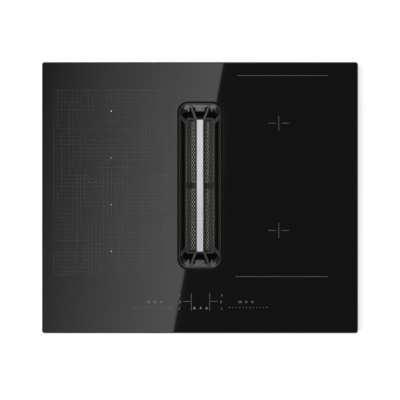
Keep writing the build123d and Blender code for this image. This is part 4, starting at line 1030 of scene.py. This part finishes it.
def bar(mesh, stations, flare=0.0, groove_w=0.0, groove_h=0.0, edge_highlight=0.0):
    """A cast bar through stations of place, run, width, top and depth, with soft upper edges."""
    rings = []
    for place, along, width, top, deep in stations:
        out = Vector((along.y, -along.x, 0)).normalized()
        half = width / 2
        section = [(-half - flare, -deep), (-half, -BAR_SOFT), (-half + BAR_SOFT, 0)]
        if groove_w:
            section += [(-groove_w / 2, 0), (-groove_w / 8, -groove_h)]
        section += [(-across, up) for across, up in reversed(section)]
        rings.append([
            Vector((place.x, INLET_Y + place.y, top)) + out * across + Vector((0, 0, up))
            for across, up in section
        ])
    # The upper edges of a bar take the painted highlight given for its edges; its groove takes none.
    for row in loft(mesh, rings):
        for corner in row[1:-1]:
            corner[painted_highlight] = edge_highlight
        if groove_w:
            for corner in row[4:6]:
                corner[painted_highlight] = 0.0


RIB_RIM = (18.3, 154.8)
RIB_SPINE = (8.0, 126.0)
RIB_STATIONS = ((0.0, 8.5), (0.1, 5.4), (0.25, 4.2), (0.8, 4.2), (0.9, 4.6), (1.0, 6.0))
RIB_FLARE = 0.7
RIB_SINK = 0.05
LEG_TOP = (38.4, 132.0)
LEG_W = 5.0
LEG_GROOVE = (2.8, 3.4)
FOOT_Z = 186.4
LEG_STATIONS = (
    (0.0, 207.6, 8.0), (2.5, 207.0, 9.0), (4.5, 205.4, 9.6), (9.0, 200.4, 8.4),
    (13.5, 195.0, 6.4), (16.5, 191.2, 191.2 - FOOT_Z), (19.5, 189.0, 189.0 - FOOT_Z),
)
for sx in (-1, 1):
    for sy in (-1, 1):
        start = Vector((sx * RIB_RIM[0], sy * RIB_RIM[1], 0))
        end = Vector((sx * RIB_SPINE[0], sy * RIB_SPINE[1], 0))
        rib_deep = LAND_Z - SPINE_Z
        bar(mesh, [
            (start.lerp(end, share), end - start, width, LAND_Z - RIB_SINK, rib_deep)
            for share, width in RIB_STATIONS
        ], flare=RIB_FLARE)
        heel = Vector((sx * LEG_TOP[0], sy * LEG_TOP[1], 0))
        inward = Vector((-sx, -sy, 0)).normalized()
        bar(mesh, [
            (heel + inward * far, inward, LEG_W, top, deep) for far, top, deep in LEG_STATIONS
        ], 0.0, *LEG_GROOVE, edge_highlight=1.0)
loft(mesh, [
    rounded_ring(SPINE[0] - SPINE_FOOT[0], SPINE[1] - SPINE_FOOT[0], SPINE[2], SPINE_Z),
    rounded_ring(*SPINE, SPINE_Z + SPINE_FOOT[1]),
    *(inset_ring(SPINE, inset, LAND_Z - down) for inset, down in SPINE_EDGE),
    inset_ring(STRIP, -STRIP_GAP, LAND_Z),
    inset_ring(STRIP, -STRIP_GAP, STRIP_SEAT_Z),
])
take(cast("grille_casting", mesh), "grille", anthracite, "cast_grille", "grille")

# ---- Aluminium strip -------------------------------------------------------------------------
# A flat extrusion of aluminium with soft edges, brushed along its length and anodised. It is glued
# into the pocket along the top of the spine.

brushed_strip = drawn(
    "brushed_strip", (0.8, 0.8, 0.86), (0.91, 0.91, 0.97),
    streaks=1400.0, smooth=0.3, rough=0.45, bump=0.004,
)
mesh = bmesh.new()
loft(mesh, [
    rounded_ring(*STRIP, STRIP_SEAT_Z),
    rounded_ring(*STRIP, STRIP_TOP_Z - STRIP_SOFT),
    inset_ring(STRIP, STRIP_SOFT, STRIP_TOP_Z),
])
take(cast("spine_strip", mesh), "grille", brushed_strip, "brushed_strip", "grille_strip")

# ---- Glass top -------------------------------------------------------------------------------
# One plate of black glass ceramic, 4 mm thick, with a rim ground matt. Faint wipe marks vary its
# gloss. The signs are fired on in grey ink, in a layer that can only just be felt.

GLASS_Z = 210.0
INK_T = 0.05
FLAT = 0.99


def wipe_marks():
    """Soft marks of a cloth that dull a polished top very slightly. Its rims are ground matt."""
    tree, given, place, out = effect(
        "wipe_marks", ("Dark", "Light"), ("Marks", "Smooth", "Rough", "Ground")
    )
    slanted = node(
        tree, "ShaderNodeMapping", {"Vector": place, "Rotation": (0, 0, 0.6), "Scale": (1, 0.25, 1)}
    )
    marks = cloudy(tree, slanted.outputs[0], given["Marks"], 6.0)
    polish = between(tree, marks, given["Smooth"], given["Rough"])
    faces = node(tree, "ShaderNodeTexCoord")
    up = node(tree, "ShaderNodeSeparateXYZ", {"Vector": faces.outputs["Normal"]})
    is_rim = node(tree, "ShaderNodeMath", {0: up.outputs["Z"], 1: FLAT}, operation="LESS_THAN")
    give_out(
        tree, out,
        colour=blend_colours(tree, marks, given["Dark"], given["Light"]),
        roughness=between(tree, is_rim.outputs[0], polish, given["Ground"]),
        height=marks,
    )
    return tree


black_glass = finish(
    "black_glass", wipe_marks(),
    {"Dark": (0.0038, 0.0038, 0.0039), "Light": (0.0044, 0.0044, 0.0045), "Marks": 9.0,
     "Smooth": 0.02, "Rough": 0.05, "Ground": 0.5},
    bump=0.0,
)
wear(black_glass, "glass_top")


def ink(name, dark, light, smooth=0.5, rough=0.65):
    """Fired ceramic ink between two close greys."""
    return mottled(
        name, (dark,) * 3, (light,) * 3,
        patches=150.0, grain=2500.0, smooth=smooth, rough=rough, bump=0.003,
    )


ink_line = ink("ink_line", 0.07, 0.1)
ink_sign = ink("ink_sign", 0.14, 0.2)
ink_white = ink("ink_white", 0.75, 0.85)
ink_pale = ink("ink_pale", 0.022, 0.03, smooth=0.03, rough=0.05)
ink_faint = ink("ink_faint", 0.013, 0.017, smooth=0.03, rough=0.05)


def patch(mesh, corners):
    """A filled shape of ink on the glass, with those corners."""
    ring = [Vector((x, y, GLASS_Z)) for x, y in corners]
    loft(mesh, [ring, [point + Vector((0, 0, INK_T)) for point in ring]])


def stroke(mesh, x0, y0, x1, y1, width):
    """A straight stroke of ink between two points."""
    start = Vector((x0, y0))
    run = Vector((x1 - x0, y1 - y0))
    out = Vector((-run.y, run.x)).normalized() * width / 2
    patch(mesh, (start + out, start - out, start + run - out, start + run + out))


def disc(mesh, x, y, radius, sides=16):
    """A round dot of ink."""
    angles = [2 * math.pi * i / sides for i in range(sides)]
    patch(mesh, [(x + radius * math.cos(a), y + radius * math.sin(a)) for a in angles])


def arc(mesh, x, y, radius, start, end, width, steps):
    """Short strokes along an arc, with its angles in degrees."""
    angles = [math.radians(start + (end - start) * i / steps) for i in range(steps + 1)]
    spots = [(x + radius * math.cos(a), y + radius * math.sin(a)) for a in angles]
    for (xa, ya), (xb, yb) in zip(spots, spots[1:]):
        stroke(mesh, xa, ya, xb, yb, width)


def sign(mesh, x, y, lines, side=1):
    """The strokes of a sign, each by its ends about the sign's middle and its width."""
    for x0, y0, x1, y1, width in lines:
        stroke(mesh, x + side * x0, y + y0, x + side * x1, y + y1, width)


def printed(name, mesh, ink_used):
    """Fires a mesh of ink onto the glass."""
    take(cast(name, mesh), "housing", ink_used, "black_glass")


# ---- Signs of the left zone ------------------------------------------------------------------
# Two coils work as one here. The zone carries a close grid of hairlines with random breaks, in
# two glossy inks barely paler than the glass, and four dots mark the middles of its quarters.

GRID_X = (-277.8, -59.0)
GRID_Y = (-146.9, 207.0)
GRID_PITCH = 7.3
HAIRLINE = 0.9
DOT_X = -168.4
DOT_YS = (164.2, 75.6, -12.9, -102.0)
DOT_R = 1.1
LINE_LENGTHS = (10, 120)
LINE_SHARE = 0.95
LINE_BREAKS = (0.6, 0.6, 8.0, 20.0)

random.seed(60)
pale_mesh = bmesh.new()
faint_mesh = bmesh.new()


def broken_line(place, low, high, upright):
    """One grid line in random lengths, some of them missing."""
    spot = low
    while spot < high - 1:
        length = min(random.uniform(*LINE_LENGTHS), high - spot)
        if random.random() < LINE_SHARE:
            mesh = pale_mesh if random.random() < 0.5 else faint_mesh
            if upright:
                stroke(mesh, place, spot, place, spot + length, HAIRLINE)
            else:
                stroke(mesh, spot, place, spot + length, place, HAIRLINE)
        spot += length + random.choice(LINE_BREAKS)


for i in range(int((GRID_X[1] - GRID_X[0]) / GRID_PITCH) + 1):
    broken_line(GRID_X[0] + i * GRID_PITCH, *GRID_Y, upright=True)
for i in range(int((GRID_Y[1] - GRID_Y[0]) / GRID_PITCH) + 1):
    broken_line(GRID_Y[0] + i * GRID_PITCH, *GRID_X, upright=False)
printed("zone_grid_pale", pale_mesh, ink_pale)
printed("zone_grid_faint", faint_mesh, ink_faint)
mesh = bmesh.new()
for dot_y in DOT_YS:
    disc(mesh, DOT_X, dot_y, DOT_R)
printed("zone_dots", mesh, ink_white)

# ---- Signs of the right zones ----------------------------------------------------------------
# Fired in grey ink with the rest. A cross marks the middle of each round coil, and a hairline
# bounds the pair of zones front and rear.

CROSS_X = 149.6
CROSS_YS = (141.4, -62.2)
CROSS_ARM = 14.2
DASH = (5.6, 20.0)
BOUNDS = ((70.9, 242.6, 231.95), (67.6, 243.6, -149.8))

mesh = bmesh.new()
for cross_y in CROSS_YS:
    stroke(mesh, CROSS_X, cross_y - CROSS_ARM, CROSS_X, cross_y + CROSS_ARM, HAIRLINE)
    for side in (-1, 1):
        stroke(mesh, CROSS_X + side * DASH[0], cross_y, CROSS_X + side * DASH[1], cross_y, HAIRLINE)
printed("zone_crosses", mesh, ink_line)
mesh = bmesh.new()
for line_x0, line_x1, line_y in BOUNDS:
    stroke(mesh, line_x0, line_y, line_x1, line_y, HAIRLINE)
printed("zone_bounds", mesh, ink_line)

# ---- Signs of the touch control --------------------------------------------------------------
# Brackets for the two number displays, level marks of the fan beside them, three function signs
# on each side, and a row of dots to slide a finger along.

BRACKET_XS = (-16.4, 18.3)
BRACKET_Y = (-214.9, -181.2)
TIE_Y = -196.9
TIES = ((-32.0, -18.1), (20.0, 34.1))
LEVEL_XS = ((-38.3, -1), (40.3, 1))
LEVEL_MARKS = ((0.4, 10.6, 1.6, 14.8, 1.0), (-0.4, -2.6, -0.4, 2.6, 1.2), (1.6, -14.6, 0.2, -10.6, 1.0))
SIGN_ROWS = ((-97.8, -85.8, -73.8), (75.9, 87.7, 99.7))
SIGN_Y = -198.0
PAN_SIGN = (
    (-2.4, -1.6, -2.4, 1.6, 0.9), (2.4, -1.6, 2.4, 1.6, 0.9),
    (-2.4, -1.4, 2.4, -1.4, 0.9), (-2.4, 1.4, 2.4, 1.4, 0.5),
)
CLOCK_HAND = ((0.0, 0.0, 0.0, 1.2, 0.6),)
SWITCH_BAR = ((0.0, 0.4, 0.0, 2.4, 0.7),)
ROUND_SIGN_R = 1.8
ROUND_SIGN_W = 0.7
SLIDERS = ((-125.2, -53.7), (56.1, 126.7))
SLIDER_Y = -208.5
SLIDER_DOTS = 12
SLIDER_DOT_R = 0.65
SLIDER_END_R = 0.9
CENTRE_SIGNS = (-10.8, 1.3, 12.6)
CENTRE_Y = -208.9
CENTRE_PEAK = ((-2.0, -1.8), (2.0, -1.8), (0.0, 2.2))
CENTRE_FOOT = ((-2.4, -2.2, 2.4, -2.2, 0.7),)

mesh = bmesh.new()
for bracket_x in BRACKET_XS:
    stroke(mesh, bracket_x, BRACKET_Y[0], bracket_x, BRACKET_Y[1], HAIRLINE)
for tie_x0, tie_x1 in TIES:
    stroke(mesh, tie_x0, TIE_Y, tie_x1, TIE_Y, HAIRLINE)
printed("display_brackets", mesh, ink_line)

mesh = bmesh.new()
for level_x, side in LEVEL_XS:
    sign(mesh, level_x, SIGN_Y, LEVEL_MARKS, side)
for sign_x in CENTRE_SIGNS:
    patch(mesh, [(sign_x + x, CENTRE_Y + y) for x, y in CENTRE_PEAK])
    sign(mesh, sign_x, CENTRE_Y, CENTRE_FOOT)
printed("fan_marks", mesh, ink_sign)

mesh = bmesh.new()
for pan_x, clock_x, switch_x in SIGN_ROWS:
    sign(mesh, pan_x, SIGN_Y, PAN_SIGN)
    arc(mesh, clock_x, SIGN_Y, ROUND_SIGN_R, 0, 360, ROUND_SIGN_W, steps=14)
    sign(mesh, clock_x, SIGN_Y, CLOCK_HAND)
    arc(mesh, switch_x, SIGN_Y, ROUND_SIGN_R, 130, 410, ROUND_SIGN_W, steps=12)
    sign(mesh, switch_x, SIGN_Y, SWITCH_BAR)
for slider_x0, slider_x1 in SLIDERS:
    for i in range(SLIDER_DOTS):
        dot_x = slider_x0 + (slider_x1 - slider_x0) * i / (SLIDER_DOTS - 1)
        dot_r = SLIDER_END_R if i in (0, SLIDER_DOTS - 1) else SLIDER_DOT_R
        disc(mesh, dot_x, SLIDER_Y, dot_r, sides=10)
printed("key_signs", mesh, ink_sign)

# ---- Studio ----------------------------------------------------------------------------------
# A pale floor, a key lamp from the left that leaves a shadow on the right, two fills, and low lamps
# front and rear. Two panels seen only in reflections draw the slanted area on the glass and the
# light on the aluminium strip.

CAMERA_XY = (0.0, -4.38)
CAMERA_H = 4220.0
PANEL_H = 1000.0
PANEL_GROW = 1 + PANEL_H / CAMERA_H
PANEL_LEFT = -330.0
PANEL_GLOW = (0.0, 0.42, 1.82)
SLANT_X = -3.3
SLANT = 0.1867
PANEL_Y = 300.0


def bare_material(name):
    """A material without shaders, and its node tree."""
    material = bpy.data.materials.new(name)
    material.use_nodes = True
    material.node_tree.nodes.clear()
    return material, material.node_tree


def lit_panel(name, rows, columns, place, glow):
    """A panel above the glass, seen only in reflections. Place and glow are given by shares."""
    mesh = bmesh.new()
    light = mesh.verts.layers.float.new("glow")
    grid = []
    for j in range(rows + 1):
        line = []
        for i in range(columns + 1):
            x, y = place(i / columns, j / rows)
            spot = mesh.verts.new((
                (CAMERA_XY[0] + (x - CAMERA_XY[0]) * PANEL_GROW) * MM,
                (CAMERA_XY[1] + (y - CAMERA_XY[1]) * PANEL_GROW) * MM,
                (GLASS_Z + PANEL_H) * MM,
            ))
            spot[light] = glow(i / columns, j / rows)
            line.append(spot)
        grid.append(line)
    for near, far in zip(grid, grid[1:]):
        for i in range(columns):
            mesh.faces.new((near[i], near[i + 1], far[i + 1], far[i]))
    panel = as_object(name, mesh)
    material, tree = bare_material(name)
    strength = node(tree, "ShaderNodeAttribute", attribute_name="glow")
    lit = node(tree, "ShaderNodeEmission", {"Strength": strength.outputs["Fac"]})
    surface = tree.nodes.new("ShaderNodeOutputMaterial")
    tree.links.new(lit.outputs[0], surface.inputs["Surface"])
    panel.data.materials.append(material)
    bpy.context.scene.collection.objects.link(panel)
    panel.visible_camera = False
    panel.visible_diffuse = False
    panel.visible_shadow = False
    panel.visible_transmission = False


def slanted_place(across, along):
    """A place on the left panel, whose right edge runs at a slant."""
    y = PANEL_Y * (1 - 2 * along)
    return PANEL_LEFT + (SLANT_X + SLANT * y - PANEL_LEFT) * across, y


def slanted_glow(across, along):
    """The glow of the left panel, which fades towards its left edge."""
    left = PANEL_GLOW[0] + (PANEL_GLOW[1] - PANEL_GLOW[0]) * along
    return left + (PANEL_GLOW[2] - left) * across


lit_panel("panel_left", 12, 24, slanted_place, slanted_glow)

INLET_PANEL = (40.0, 156.0, 20.0)
INLET_GLOWS = (7.8, 1.85, 1.0)


def inlet_place(across, along):
    """A place on the panel above the inlet, whose corners are rounded like the opening's."""
    half_x, half_y, corner_r = INLET_PANEL
    y = half_y * (1 - 2 * along)
    over = max(abs(y) - half_y + corner_r, 0.0)
    half_x -= corner_r - math.sqrt(corner_r**2 - over**2)
    return half_x * (2 * across - 1), INLET_Y + y


def inlet_glow(across, along):
    """The glow above the inlet, which fades from the rear to the front all across."""
    rear, middle, front = INLET_GLOWS
    if along < 0.5:
        return rear + (middle - rear) * 2 * along
    return middle + (front - middle) * (2 * along - 1)


lit_panel("panel_inlet", 48, 1, inlet_place, inlet_glow)


def lamp(name, azimuth, elevation, distance, size, power, gloss):
    """A softbox aimed at the middle of the glass. Azimuth 0 is the front."""
    a = math.radians(azimuth)
    e = math.radians(elevation)
    light = bpy.data.lights.new(name, "AREA")
    light.shape = "RECTANGLE"
    light.size, light.size_y = size
    light.energy = power
    holder = bpy.data.objects.new(name, light)
    back = Vector((math.sin(a) * math.cos(e), -math.cos(a) * math.cos(e), math.sin(e)))
    holder.location = Vector((0, 0, GLASS_Z * MM)) + back * distance
    holder.rotation_euler = back.to_track_quat("Z", "Y").to_euler()
    holder.visible_glossy = gloss
    bpy.context.scene.collection.objects.link(holder)


lamp("key", 270, 86.8, 7.0, (0.2, 0.5), 400.0, gloss=False)
lamp("fill_left", 260, 40, 2.8, (1.4, 1.4), 24.0, gloss=False)
lamp("fill_right", 45, 45, 2.8, (1.4, 1.4), 4.0, gloss=False)
lamp("low_front", 356, 27, 3.0, (1.5, 2.0), 26.0, gloss=True)
lamp("low_rear", 184, 27, 3.0, (1.5, 2.0), 15.0, gloss=True)

world = bpy.data.worlds.new("studio")
bpy.context.scene.world = world
world.use_nodes = True
tree = world.node_tree
tree.nodes.clear()
ray = node(tree, "ShaderNodeLightPath")
ways = node(tree, "ShaderNodeTexCoord")
up = node(tree, "ShaderNodeSeparateXYZ", {"Vector": ways.outputs["Generated"]})
height = node(
    tree, "ShaderNodeMapRange",
    {"Value": up.outputs["Z"], "From Min": 0.1, "From Max": 0.62, "To Min": 0.35, "To Max": 0.04},
    interpolation_type="SMOOTHSTEP",
)
sky = node(tree, "ShaderNodeBackground", {"Color": (1, 1, 1, 1), "Strength": height.outputs[0]})
white = node(tree, "ShaderNodeBackground", {"Color": (1, 1, 1, 1), "Strength": 1.0})
seen = node(
    tree, "ShaderNodeMixShader",
    {0: ray.outputs["Is Camera Ray"], 1: sky.outputs[0], 2: white.outputs[0]},
)
surface = tree.nodes.new("ShaderNodeOutputWorld")
tree.links.new(seen.outputs[0], surface.inputs["Surface"])

FLOOR_HALF = 30.0
FLOOR_GAP = 0.0005
mesh = bmesh.new()
bmesh.ops.create_grid(mesh, x_segments=1, y_segments=1, size=FLOOR_HALF)
floor = as_object("floor", mesh)
floor.location.z = -FLOOR_GAP
bpy.context.scene.collection.objects.link(floor)
floor_paint, tree = bare_material("floor")
ray = node(tree, "ShaderNodeLightPath")
behind = node(tree, "ShaderNodeNewGeometry")
matt = node(tree, "ShaderNodeBsdfDiffuse", {"Color": (0.38, 0.38, 0.38, 1)})
spot = node(tree, "ShaderNodeTexCoord")
reach = node(tree, "ShaderNodeVectorMath", {0: spot.outputs["Object"]}, operation="LENGTH")
spread = node(
    tree, "ShaderNodeMapRange",
    {"Value": reach.outputs["Value"], "From Min": 0.8, "From Max": 3.0, "To Min": 0.61, "To Max": 1.0},
)
glow = node(tree, "ShaderNodeEmission", {"Color": (1, 1, 1, 1), "Strength": spread.outputs[0]})
lit = node(tree, "ShaderNodeAddShader", {0: matt.outputs[0], 1: glow.outputs[0]})
plain = node(tree, "ShaderNodeBsdfDiffuse", {"Color": (0.8, 0.8, 0.8, 1)})
direct = ray.outputs["Is Camera Ray"]
for kind in ("Is Glossy Ray", "Is Transmission Ray"):
    direct = node(tree, "ShaderNodeMath", {0: direct, 1: ray.outputs[kind]}, operation="MAXIMUM").outputs[0]
shown = node(tree, "ShaderNodeMixShader", {0: direct, 1: plain.outputs[0], 2: lit.outputs[0]})
through = node(tree, "ShaderNodeBsdfTransparent")
one_sided = node(
    tree, "ShaderNodeMixShader",
    {0: behind.outputs["Backfacing"], 1: shown.outputs[0], 2: through.outputs[0]},
)
surface = tree.nodes.new("ShaderNodeOutputMaterial")
tree.links.new(one_sided.outputs[0], surface.inputs["Surface"])
floor.data.materials.append(floor_paint)

lens = bpy.data.cameras.new("camera")
lens.type = "PERSP"
lens.lens = 200.0
lens.sensor_width = 36.0
lens.clip_end = 100.0
camera = bpy.data.objects.new("camera", lens)
camera.location = (CAMERA_XY[0] * MM, CAMERA_XY[1] * MM, (GLASS_Z + CAMERA_H) * MM)
bpy.context.scene.collection.objects.link(camera)
bpy.context.scene.camera = camera
bpy.context.scene.view_settings.view_transform = "Standard"
